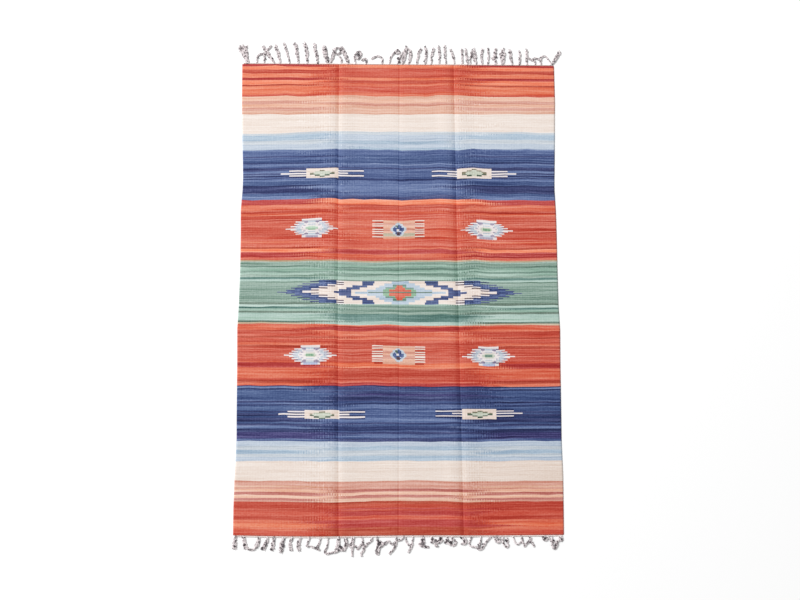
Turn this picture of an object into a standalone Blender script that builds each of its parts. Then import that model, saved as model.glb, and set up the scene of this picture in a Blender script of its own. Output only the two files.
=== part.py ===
"""A flat-woven cotton rug lying on a floor.

Three solids: the woven field, one sheet with three soft folds along its length,
and at each end a heading strip with the fringe locks that grow out of it.
X runs across the rug, Y along its warps and Z up. The origin is the middle of
the woven field, on the floor.
"""

import math
from collections import namedtuple

import bmesh
import bpy
import numpy
from mathutils import Vector

# Driving dimensions, in metres
CLOTH_THICKNESS = 0.003
ROW_STEP = 0.078
SIDE_COLUMN_STEP = 0.060
PIECE_GAP = 0.0003

# Folds: a narrow valley that rests on the floor, with a low ridge on each side
RIDGE_HEIGHT = 0.0036
VALLEY_HALF_WIDTH = 0.003
FOLD_REACH = 0.080

# Heading strip and fringe
STRIP_WIDTH = 0.005
STRIP_INSET = 0.0015
LOCK_HEIGHT = 0.0045
LOCK_TIP_WIDTH_SHARE = 0.6
LOCK_TIP_HEIGHT_SHARE = 0.7
LOCK_DROP_REACH = 0.025
LOCK_STEPS = (0.12, 0.28, 0.46, 0.64, 0.82, 1.0)
RUN_STEP = 0.05

MM = 0.001

# Side edges of the woven field, in millimetres from its middle line
SideEdge = namedtuple("SideEdge", "along left right")
SIDE_EDGES = (
    SideEdge(-900, -600, 599),
    SideEdge(-800, -601, 600),
    SideEdge(-676, -599, 601),
    SideEdge(-560, -595, 598),
    SideEdge(-460, -597, 599),
    SideEdge(-280, -599, 600),
    SideEdge(-142, -602, 602),
    SideEdge(-50, -598, 598),
    SideEdge(90, -596, 597),
    SideEdge(230, -597, 597),
    SideEdge(320, -599, 596),
    SideEdge(414, -593, 592),
    SideEdge(460, -593, 594),
    SideEdge(600, -599, 598),
    SideEdge(750, -604, 602),
    SideEdge(900, -606, 601),
)

# Ends of the woven field, in millimetres from its middle
EndEdge = namedtuple("EndEdge", "across far near")
END_EDGES = (
    EndEdge(-600, 902.0, -896.0),
    EndEdge(-485, 901.2, -898.5),
    EndEdge(-390, 900.6, -900.0),
    EndEdge(-286, 899.9, -900.5),
    EndEdge(-177, 899.2, -899.0),
    EndEdge(-80, 898.5, -897.5),
    EndEdge(0, 898.0, -896.5),
    EndEdge(150, 897.0, -896.0),
    EndEdge(259, 896.3, -896.5),
    EndEdge(368, 895.5, -896.0),
    EndEdge(477, 894.8, -895.0),
    EndEdge(600, 894.0, -894.0),
)

# Folds, in millimetres: where each crosses the far end, middle and near end,
# and how far its two ridges lie from its line
Fold = namedtuple("Fold", "far middle near left_ridge right_ridge")
FOLDS = (
    Fold(-232, -229, -218, 30, 22),
    Fold(3, 1, 0, 30, 22),
    Fold(213, 223, 237, 30, 22),
)
FOLD_STATIONS = (-80, -56, -41, -30, -16, -3, 3, 12, 22, 36, 56, 80)

# Fringe locks, in millimetres: root across the rug, how far the tip leans
# sideways, how far it reaches out, its sideways bow, and its width
Lock = namedtuple("Lock", "root lean reach bow width")
FAR_LOCKS = (
    Lock(-591, -16, 80, -2, 10),
    Lock(-544, 12, 50, -7, 7),
    Lock(-517, -13, 82, 2, 7),
    Lock(-482, -10, 82, -3, 7),
    Lock(-456, -20, 82, 2, 7),
    Lock(-423, -23, 86, 0, 7),
    Lock(-389, -11, 87, -2, 7),
    Lock(-356, -8, 88, 2, 7),
    Lock(-314, -21, 86, 3, 7),
    Lock(-275, -22, 80, -2, 9),
    Lock(-260, 16, 86, 2, 7),
    Lock(-194, -32, 76, 4, 7),
    Lock(-171, 22, 59, -3, 7),
    Lock(-123, -8, 30, 0, 8),
    Lock(-80, 0, 38, 3, 12),
    Lock(-34, 29, 68, -4, 7),
    Lock(-3, 16, 60, 2, 9),
    Lock(16, 12, 74, 2, 7),
    Lock(38, 6, 60, 3, 7),
    Lock(70, 15, 68, -3, 7),
    Lock(102, 4, 76, 2, 7),
    Lock(125, 10, 70, -2, 7),
    Lock(155, 0, 76, 3, 7),
    Lock(183, -3, 78, -2, 7),
    Lock(215, -14, 68, 3, 7),
    Lock(245, -3, 68, 2, 7),
    Lock(268, -6, 68, -2, 7),
    Lock(300, -9, 68, 2, 7),
    Lock(324, -1, 68, -2, 7),
    Lock(345, 2, 68, 2, 7),
    Lock(374, 2, 68, -2, 7),
    Lock(403, 3, 68, 2, 10),
    Lock(441, -7, 66, -3, 7),
    Lock(468, 0, 60, 2, 7),
    Lock(497, 3, 66, -2, 7),
    Lock(526, -8, 40, 2, 10),
    Lock(550, 28, 46, 5, 8),
    Lock(590, 34, 60, 4, 8),
)
NEAR_LOCKS = (
    Lock(-592, -3, 47, -2, 9),
    Lock(-562, 12, 46, -4, 9),
    Lock(-508, -14, 43, 4, 9),
    Lock(-476, -18, 47, 3, 9),
    Lock(-451, -8, 50, -2, 9),
    Lock(-416, -12, 56, -3, 10),
    Lock(-385, -2, 50, -8, 7),
    Lock(-354, -4, 50, -8, 9),
    Lock(-320, 8, 37, -13, 8),
    Lock(-284, -13, 45, 4, 9),
    Lock(-259, -6, 58, -4, 7),
    Lock(-242, 2, 52, -1, 7),
    Lock(-220, -8, 52, 3, 7),
    Lock(-193, -10, 50, 8, 8),
    Lock(-165, -4, 66, 2, 8),
    Lock(-130, -15, 43, -4, 8),
    Lock(-98, -26, 60, 5, 7),
    Lock(-74, -4, 62, -2, 10),
    Lock(-45, -14, 50, 6, 9),
    Lock(-8, -24, 60, 8, 7),
    Lock(12, 15, 20, 4, 7),
    Lock(62, -27, 58, -3, 8),
    Lock(87, 22, 42, -10, 8),
    Lock(121, -1, 31, 0, 11),
    Lock(158, -17, 29, 3, 9),
    Lock(183, -4, 31, -3, 12),
    Lock(206, 5, 31, 2, 12),
    Lock(243, -10, 27, 2, 8),
    Lock(269, 9, 38, -8, 7),
    Lock(302, -8, 48, -3, 9),
    Lock(335, -24, 47, 3, 8),
    Lock(360, -5, 23, 0, 10),
    Lock(383, 16, 33, -4, 9),
    Lock(419, 12, 29, -4, 8),
    Lock(452, 6, 37, -6, 8),
    Lock(479, 15, 38, 1, 8),
    Lock(521, 12, 19, -2, 12),
    Lock(557, 9, 45, -3, 10),
    Lock(588, 5, 21, 0, 8),
)


def between_rows(rows, key, column, place):
    """Return a column's value at a place between two rows of a table, in metres."""
    places = [getattr(row, key) * MM for row in rows]
    values = [getattr(row, column) * MM for row in rows]
    return float(numpy.interp(place, places, values))


def fold_line(fold, along):
    """Return where a fold's line lies across the rug at a place along it."""
    places = (SIDE_EDGES[0].along * MM, 0.0, SIDE_EDGES[-1].along * MM)
    return float(numpy.interp(along, places, (fold.near * MM, fold.middle * MM, fold.far * MM)))


def height_beside_fold(fold, offset):
    """Return the underside's height at a distance to the right of a fold's line."""
    ridge = (fold.left_ridge if offset < 0 else fold.right_ridge) * MM
    distance = abs(offset)
    if distance <= VALLEY_HALF_WIDTH or distance >= FOLD_REACH:
        return 0.0
    if distance < ridge:
        share = (distance - VALLEY_HALF_WIDTH) / (ridge - VALLEY_HALF_WIDTH)
        return RIDGE_HEIGHT * math.sin(0.5 * math.pi * share)
    share = (distance - ridge) / (FOLD_REACH - ridge)
    return RIDGE_HEIGHT * math.cos(0.5 * math.pi * share) ** 2


def underside_height(across, along):
    """Return the height of the cloth's underside above the floor."""
    return max(height_beside_fold(fold, across - fold_line(fold, along)) for fold in FOLDS)


def field_columns():
    """Return the columns of the woven field, as places across a rug with straight folds."""
    left_edge = SIDE_EDGES[0].left * MM
    first = FOLDS[0].middle * MM - FOLD_REACH
    last = FOLDS[-1].middle * MM + FOLD_REACH
    right_edge = -left_edge
    columns = list(numpy.linspace(left_edge, first, round((first - left_edge) / SIDE_COLUMN_STEP) + 1)[:-1])
    for fold in FOLDS:
        columns.extend((fold.middle + station) * MM for station in FOLD_STATIONS)
    columns.extend(numpy.linspace(last, right_edge, round((right_edge - last) / SIDE_COLUMN_STEP) + 1)[1:])
    return [float(column) for column in columns]


def column_across(column, along):
    """Return where a column lies across the real rug: beside its slanting fold, or spread to the edge."""
    straight = [SIDE_EDGES[0].left * MM]
    real = [between_rows(SIDE_EDGES, "along", "left", along)]
    for fold in FOLDS:
        for side in (-FOLD_REACH, FOLD_REACH):
            straight.append(fold.middle * MM + side)
            real.append(fold_line(fold, along) + side)
    straight.append(-SIDE_EDGES[0].left * MM)
    real.append(between_rows(SIDE_EDGES, "along", "right", along))
    return float(numpy.interp(column, straight, real))


def end_of_field(across, end):
    """Return how far along the rug the woven field ends, at the far or the near end."""
    return between_rows(END_EDGES, "across", end, across)


def column_ends(column):
    """Return how far along the rug a column of the woven field starts and stops."""
    near = end_of_field(column_across(column, SIDE_EDGES[0].along * MM), "near")
    far = end_of_field(column_across(column, SIDE_EDGES[-1].along * MM), "far")
    return near, far


def closed_object(name, mesh, material):
    """Add a closed mesh to the scene as a named object with its faces pointing out."""
    bmesh.ops.recalc_face_normals(mesh, faces=mesh.faces)
    data = bpy.data.meshes.new(name)
    mesh.to_mesh(data)
    mesh.free()
    data.materials.append(material)
    piece = bpy.data.objects.new(name, data)
    bpy.context.scene.collection.objects.link(piece)
    return piece


def build_field(material):
    """Build the woven field: a grid laid in the rug's folds, extruded to the cloth's thickness."""
    mesh = bmesh.new()
    columns = field_columns()
    row_count = round((end_of_field(0.0, "far") - end_of_field(0.0, "near")) / ROW_STEP)
    grid = []
    for row in range(row_count + 1):
        share = row / row_count
        line = []
        for column in columns:
            near, far = column_ends(column)
            along = (1.0 - share) * near + share * far
            across = column_across(column, along)
            line.append(mesh.verts.new((across, along, underside_height(across, along))))
        grid.append(line)
    for lower, upper in zip(grid, grid[1:]):
        for index in range(len(columns) - 1):
            mesh.faces.new((lower[index], lower[index + 1], upper[index + 1], upper[index]))
    raised = bmesh.ops.extrude_face_region(mesh, geom=list(mesh.faces), use_keep_orig=True)["geom"]
    top_points = [item for item in raised if isinstance(item, bmesh.types.BMVert)]
    bmesh.ops.translate(mesh, verts=top_points, vec=(0.0, 0.0, CLOTH_THICKNESS))
    return closed_object("rug_field", mesh, material)


def bridge(mesh, ring, next_ring, skip=None):
    """Join two rings of points with faces, leaving out one side where a lock grows."""
    for side in range(len(ring)):
        after = (side + 1) % len(ring)
        if side != skip:
            mesh.faces.new((ring[side], ring[after], next_ring[after], next_ring[side]))


def strip_ring(mesh, across, end, outward):
    """Add the strip's four corners at a place across the rug: inner and outer, low and high."""
    inner = end_of_field(across, end) + outward * PIECE_GAP
    outer = inner + outward * STRIP_WIDTH
    low = underside_height(across, inner)
    high = low + CLOTH_THICKNESS
    corners = ((inner, low), (outer, low), (outer, high), (inner, high))
    return [mesh.verts.new((across, along, height)) for along, height in corners]


def lock_middle(lock, share, base, outward):
    """Return the point on the floor plan under a lock's middle, at a share of its reach."""
    across = lock.root + lock.lean * share + lock.bow * math.sin(math.pi * share)
    return Vector((across * MM, base + outward * lock.reach * share * MM, 0.0))


def grow_lock(mesh, lock, root_ring, outward):
    """Grow a lock from its root on the strip's outer face down to the floor and out to its tip."""
    base = sum(point.co.y for point in root_ring) / len(root_ring)
    root_height = min(point.co.z for point in root_ring)
    ring = root_ring
    for share in LOCK_STEPS:
        middle = lock_middle(lock, share, base, outward)
        before = lock_middle(lock, share - RUN_STEP, base, outward)
        run = (middle - before).normalized()
        sideways = Vector((run.y * outward, -run.x * outward, 0.0))
        tip = max(0.0, share - LOCK_STEPS[-2]) / (1.0 - LOCK_STEPS[-2])
        half_width = 0.5 * lock.width * MM * (1.0 - tip * (1.0 - LOCK_TIP_WIDTH_SHARE))
        height = LOCK_HEIGHT * (1.0 - tip * (1.0 - LOCK_TIP_HEIGHT_SHARE))
        drop = max(0.0, 1.0 - lock.reach * share * MM / LOCK_DROP_REACH)
        low = Vector((0.0, 0.0, root_height * drop))
        high = Vector((0.0, 0.0, root_height * drop + height))
        left = middle - sideways * half_width
        right = middle + sideways * half_width
        next_ring = [mesh.verts.new(corner) for corner in (left + low, right + low, right + high, left + high)]
        bridge(mesh, ring, next_ring)
        ring = next_ring
    mesh.faces.new(ring)


def build_fringe(name, end, outward, locks, material):
    """Build an end's heading strip with its fringe locks, as one closed body."""
    mesh = bmesh.new()
    at_end = outward * SIDE_EDGES[-1].along * MM
    first = between_rows(SIDE_EDGES, "along", "left", at_end) + STRIP_INSET
    last = between_rows(SIDE_EDGES, "along", "right", at_end) - STRIP_INSET
    stations = [first]
    for lock in locks:
        half_width = 0.5 * lock.width
        stations.extend(((lock.root - half_width) * MM, (lock.root + half_width) * MM))
    stations.append(last)
    rings = [strip_ring(mesh, across, end, outward) for across in stations]
    outer_side = 1
    for index, (ring, next_ring) in enumerate(zip(rings, rings[1:])):
        is_root = index % 2 == 1
        bridge(mesh, ring, next_ring, skip=outer_side if is_root else None)
        if is_root:
            root_ring = [ring[1], next_ring[1], next_ring[2], ring[2]]
            grow_lock(mesh, locks[index // 2], root_ring, outward)
    mesh.faces.new(rings[0])
    mesh.faces.new(rings[-1])
    return closed_object(name, mesh, material)


def cotton(name, colour, roughness):
    """Return a plain matt material for dyed or undyed cotton yarn."""
    material = bpy.data.materials.new(name)
    material.use_nodes = True
    shader = material.node_tree.nodes["Principled BSDF"]
    shader.inputs["Base Color"].default_value = (*colour, 1.0)
    shader.inputs["Roughness"].default_value = roughness
    shader.inputs["Metallic"].default_value = 0.0
    return material


def main():
    """Clear the scene and build the rug's three solids."""
    for old in list(bpy.data.objects):
        bpy.data.objects.remove(old, do_unlink=True)
    weft = cotton("weft cotton", (0.55, 0.12, 0.08), 0.9)
    warp = cotton("warp cotton", (0.72, 0.70, 0.66), 0.85)
    build_field(weft)
    build_fringe("fringe_far", "far", 1.0, FAR_LOCKS, warp)
    build_fringe("fringe_near", "near", -1.0, NEAR_LOCKS, warp)


main()
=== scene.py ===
"""A flat-woven cotton rug, dressed for its portrait on a pale floor.

The cloth is one closed sheet whose rows follow the real weft lines. Its dyed streaks and
stepped motifs are charted in millimetres, in the cloth's own measure: u runs across the rug
and v along it, both from the middle of the woven field. The two fringes are cords plied from
the rug's own warps. The tables were measured in the photo, several of them by a script, and
report.md says how each was made.
"""

import logging
import math
import random
from dataclasses import dataclass, field
from enum import Enum
from typing import Iterator, NamedTuple, Sequence

import bpy
import numpy as np
from mathutils import Matrix, Vector


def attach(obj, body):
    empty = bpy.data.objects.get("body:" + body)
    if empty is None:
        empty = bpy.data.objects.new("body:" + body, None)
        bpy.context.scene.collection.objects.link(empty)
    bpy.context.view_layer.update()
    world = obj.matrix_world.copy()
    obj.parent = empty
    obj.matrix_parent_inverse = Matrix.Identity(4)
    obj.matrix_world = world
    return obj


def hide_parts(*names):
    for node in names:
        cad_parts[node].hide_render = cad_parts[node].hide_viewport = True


logging.basicConfig(level=logging.INFO, format="%(message)s")
LOG = logging.getLogger("kilim_rug")

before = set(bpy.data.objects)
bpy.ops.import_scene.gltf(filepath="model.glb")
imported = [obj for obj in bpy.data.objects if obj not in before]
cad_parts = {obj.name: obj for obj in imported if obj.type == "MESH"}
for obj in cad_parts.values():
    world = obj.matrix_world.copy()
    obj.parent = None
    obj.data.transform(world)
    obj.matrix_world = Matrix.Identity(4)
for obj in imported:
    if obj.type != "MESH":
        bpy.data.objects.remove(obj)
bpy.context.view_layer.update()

MM = 0.001

# Edges of the woven field in millimetres: where along the rug, left edge, right edge, picked
# from what a script measured in the photo
SIDE_EDGES = (
    (-900, -600, 599),
    (-800, -601, 600),
    (-676, -599, 601),
    (-560, -595, 598),
    (-460, -597, 599),
    (-280, -599, 600),
    (-142, -602, 602),
    (-50, -598, 598),
    (90, -596, 597),
    (230, -597, 597),
    (320, -599, 596),
    (414, -593, 592),
    (460, -593, 594),
    (600, -599, 598),
    (750, -604, 602),
    (900, -606, 601),
)

# Ends of the woven field in millimetres: where across the rug, far end, near end
END_EDGES = (
    (-600, 902.0, -896.0),
    (-485, 901.2, -898.5),
    (-390, 900.6, -900.0),
    (-286, 899.9, -900.5),
    (-177, 899.2, -899.0),
    (-80, 898.5, -897.5),
    (0, 898.0, -896.5),
    (150, 897.0, -896.0),
    (259, 896.3, -896.5),
    (368, 895.5, -896.0),
    (477, 894.8, -895.0),
    (600, 894.0, -894.0),
)

# How far each weft line wanders along the rug, in millimetres, at these places across it, as a
# script measured it in the photo, with the four nearest lines changed afterwards
BOW_STATIONS = (
    -570, -500, -430, -360, -300, -239, -219, -150, -90, -40, -9, 11,
    50, 110, 160, 213, 233, 290, 350, 420, 490, 560,
)
WEFT_BOW = (
    (773, (-3, 0, 2, -1, 2, 3, 3, 2, -2, -2, -2, -3, -1, -2, 3, 3, 3, 0, -3, -4, -4, -6)),
    (699, (-1, 1, -1, 1, 2, 2, 1, 2, -1, 1, 0, 0, -1, -1, 2, 2, 1, -1, -1, 2, 1, 1)),
    (628, (-8, -7, -4, -1, 3, 2, 1, 2, 1, 2, 2, -1, 0, 1, 1, 1, 0, 2, 0, -1, -1, -3)),
    (557, (-3, -1, 0, 0, 1, 4, 1, 2, -1, 0, -1, -4, -3, -2, 1, 0, -2, 4, 1, 1, 2, 0)),
    (359, (-2, -1, 2, 3, 7, 6, 2, 3, 2, 1, 0, -2, 1, 2, 5, 1, 0, 4, -1, -2, 0, -3)),
    (124, (2, 1, 1, 3, 3, 2, 0, -1, -3, -3, -2, -1, 0, 0, 0, -2, -1, 3, -2, -2, -2, 1)),
    (-124, (6, 6, 4, 4, 5, 3, 0, -1, 2, 2, 0, -2, -3, -3, -2, -3, -3, -1, -2, -1, 0, 0)),
    (-353, (2, 1, 2, 1, 1, 2, 0, 1, 3, 0, 1, -1, -1, -2, -1, -1, -2, -1, -3, -3, -2, -1)),
    (-556, (0, 0, 0, -1, -2, -3, -4, -4, -3, -2, -2, -2, -2, -3, -2, -2, -3, -3, -2, 0, 0, 0)),
    (-627, (-3, -2, -1, -2, -4, -2, -3, -4, -3, -1, -1, -1, -1, -2, -1, -1, -1, -2, -3, -1, 0, 0)),
    (-700, (-1, -1, -1, -2, -4, -5, -6, -4, -3, -1, -1, -1, 0, -1, -2, -3, -4, -4, -3, -2, -1, -1)),
    (-773, (-3, -3, -4, -6, -7, -6, -6, -3, -2, -1, -1, -1, -2, -2, -2, -5, -6, -4, -4, -2, -2, -2)),
)

# How far a fold lifts the cloth to each side, and half its pressed line, in millimetres
FOLD_REACH = 80
CREASE_HALF_WIDTH = 1
# Painted shade and light beside a fold: reach per millimetre of its height, and the light's share
SHADED_REACH = 10
LIT_REACH = 15
LIT_SHARE = 0.16


class Fold(NamedTuple):
    """A soft fold along the rug: its course, ridges and height in millimetres, and its painted shade."""

    far: float
    middle: float
    near: float
    left_ridge: float
    right_ridge: float
    height: float
    painted_shade_strength: float

    def lift(self, offset: np.ndarray) -> np.ndarray:
        """Return how high the fold holds the cloth off the floor.

        Args:
            offset: Places across the rug, in millimetres from the fold's line.

        Returns:
            Heights in millimetres.
        """
        distance = np.abs(offset)
        ridge = np.where(offset < 0, self.left_ridge, self.right_ridge)
        rise = (distance - CREASE_HALF_WIDTH) / (ridge - CREASE_HALF_WIDTH)
        fall = (distance - ridge) / (FOLD_REACH - ridge)
        up = np.sin(0.5 * np.pi * np.clip(rise, 0, 1))
        down = np.cos(0.5 * np.pi * np.clip(fall, 0, 1)) ** 2
        return self.height * np.where(distance < ridge, up, down)

    def painted_fold_shade(self, offset: np.ndarray) -> np.ndarray:
        """Return the shade painted into the dye on the fold's left, and the light painted on its right.

        Args:
            offset: Places across the rug, in millimetres from the fold's line.

        Returns:
            What the dye's depth gains from the painted shade, and loses to painted light on the right.
        """
        shaded = np.clip(1 + offset / (SHADED_REACH * self.height), 0, 1)
        lit = np.clip(1 - offset / (LIT_REACH * self.height), 0, 1)
        return self.painted_shade_strength * np.where(offset < 0, shaded, -LIT_SHARE * lit)


# Last value: strength of the shade painted left of each fold; weaker painted light lies right of it
FOLDS = (
    Fold(-232, -229, -218, 32, 18, 2.0, 0.32),
    Fold(3, 1, 0, 24, 20, 0.7, 0.25),
    Fold(213, 223, 237, 34, 20, 2.0, 0.32),
)


class Dye(Enum):
    """The colours of yarn in the rug, as sRGB hex values."""

    # Reds and oranges
    CRIMSON = "bb4f49"
    BRICK = "ba5543"
    RED_CORAL = "c55c4b"
    CORAL = "ce6755"
    ORANGE_CORAL = "d6755e"
    ORANGE = "dd7f64"
    LIGHT_ORANGE = "e4886c"
    # Salmons
    PEACH = "dfb19c"
    SALMON = "d8aa96"
    ROSE = "d09a8a"
    OLD_ROSE = "bf7c72"
    # Undyed
    ECRU = "e4d7ce"
    WHITE = "e5dedd"
    # Pale blues
    PALE_BLUE = "bac5d2"
    SKY = "afbfce"
    DEEP_SKY = "a6b7c7"
    LAVENDER = "bcc5da"
    DOVE = "c2cad2"
    # Navies
    MIDNIGHT = "384470"
    INDIGO = "434c77"
    BLUE = "4b5c87"
    SLATE = "556590"
    STEEL = "65759e"
    VIOLET = "434474"
    # Greens
    DARK_SAGE = "6f8377"
    DEEP_TEAL = "688880"
    TEAL = "7a9488"
    SAGE = "8da498"
    MINT = "99b3a6"
    PALE_MINT = "a5bcb2"
    STRAW = "b7af9a"
    # Small touches in the motifs
    LEAF = "85aa8d"
    PALE_LEAF = "b4ccb6"
    LILAC = "b8b2c0"
    COCOA = "5b4a55"
    MAUVE = "857b95"
    OLIVE = "8b8673"
    MOSS = "56685a"
    PALE_SAGE = "c6cbbd"


def linear(hex_colour: str) -> tuple[float, float, float]:
    """Turn an sRGB hex colour into linear light.

    Args:
        hex_colour: Six hex digits.

    Returns:
        Red, green and blue from 0 to 1.
    """
    parts = [int(hex_colour[i : i + 2], 16) / 255 for i in (0, 2, 4)]
    return tuple(p / 12.92 if p <= 0.04045 else ((p + 0.055) / 1.055) ** 2.4 for p in parts)


class Streak(NamedTuple):
    """A run of wefts of one dye, down to a place along the rug in millimetres.

    Where a second dye is given, the two take turns in thin lines.
    """

    down_to: float
    dye: Dye
    second: Dye | None = None


def streaks(*rows: tuple) -> tuple[Streak, ...]:
    """Return a chart of streaks, given from the far side of its band to the near one."""
    return tuple(Streak(*row) for row in rows)


class Band(NamedTuple):
    """One of the rug's broad bands, with its streaks near the sides and in the middle.

    The first and third depths say how much deeper its dye is all over and where the streaks of the
    two charts mix, the second how much darker it is by the right side. The last says how far single
    wefts stray from their neighbours.
    """

    name: str
    starts: float
    ends: float
    depth: float
    right_darkening: float
    mixed_depth: float
    line_depth: float
    sides: tuple[Streak, ...]
    middle: tuple[Streak, ...]


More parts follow.
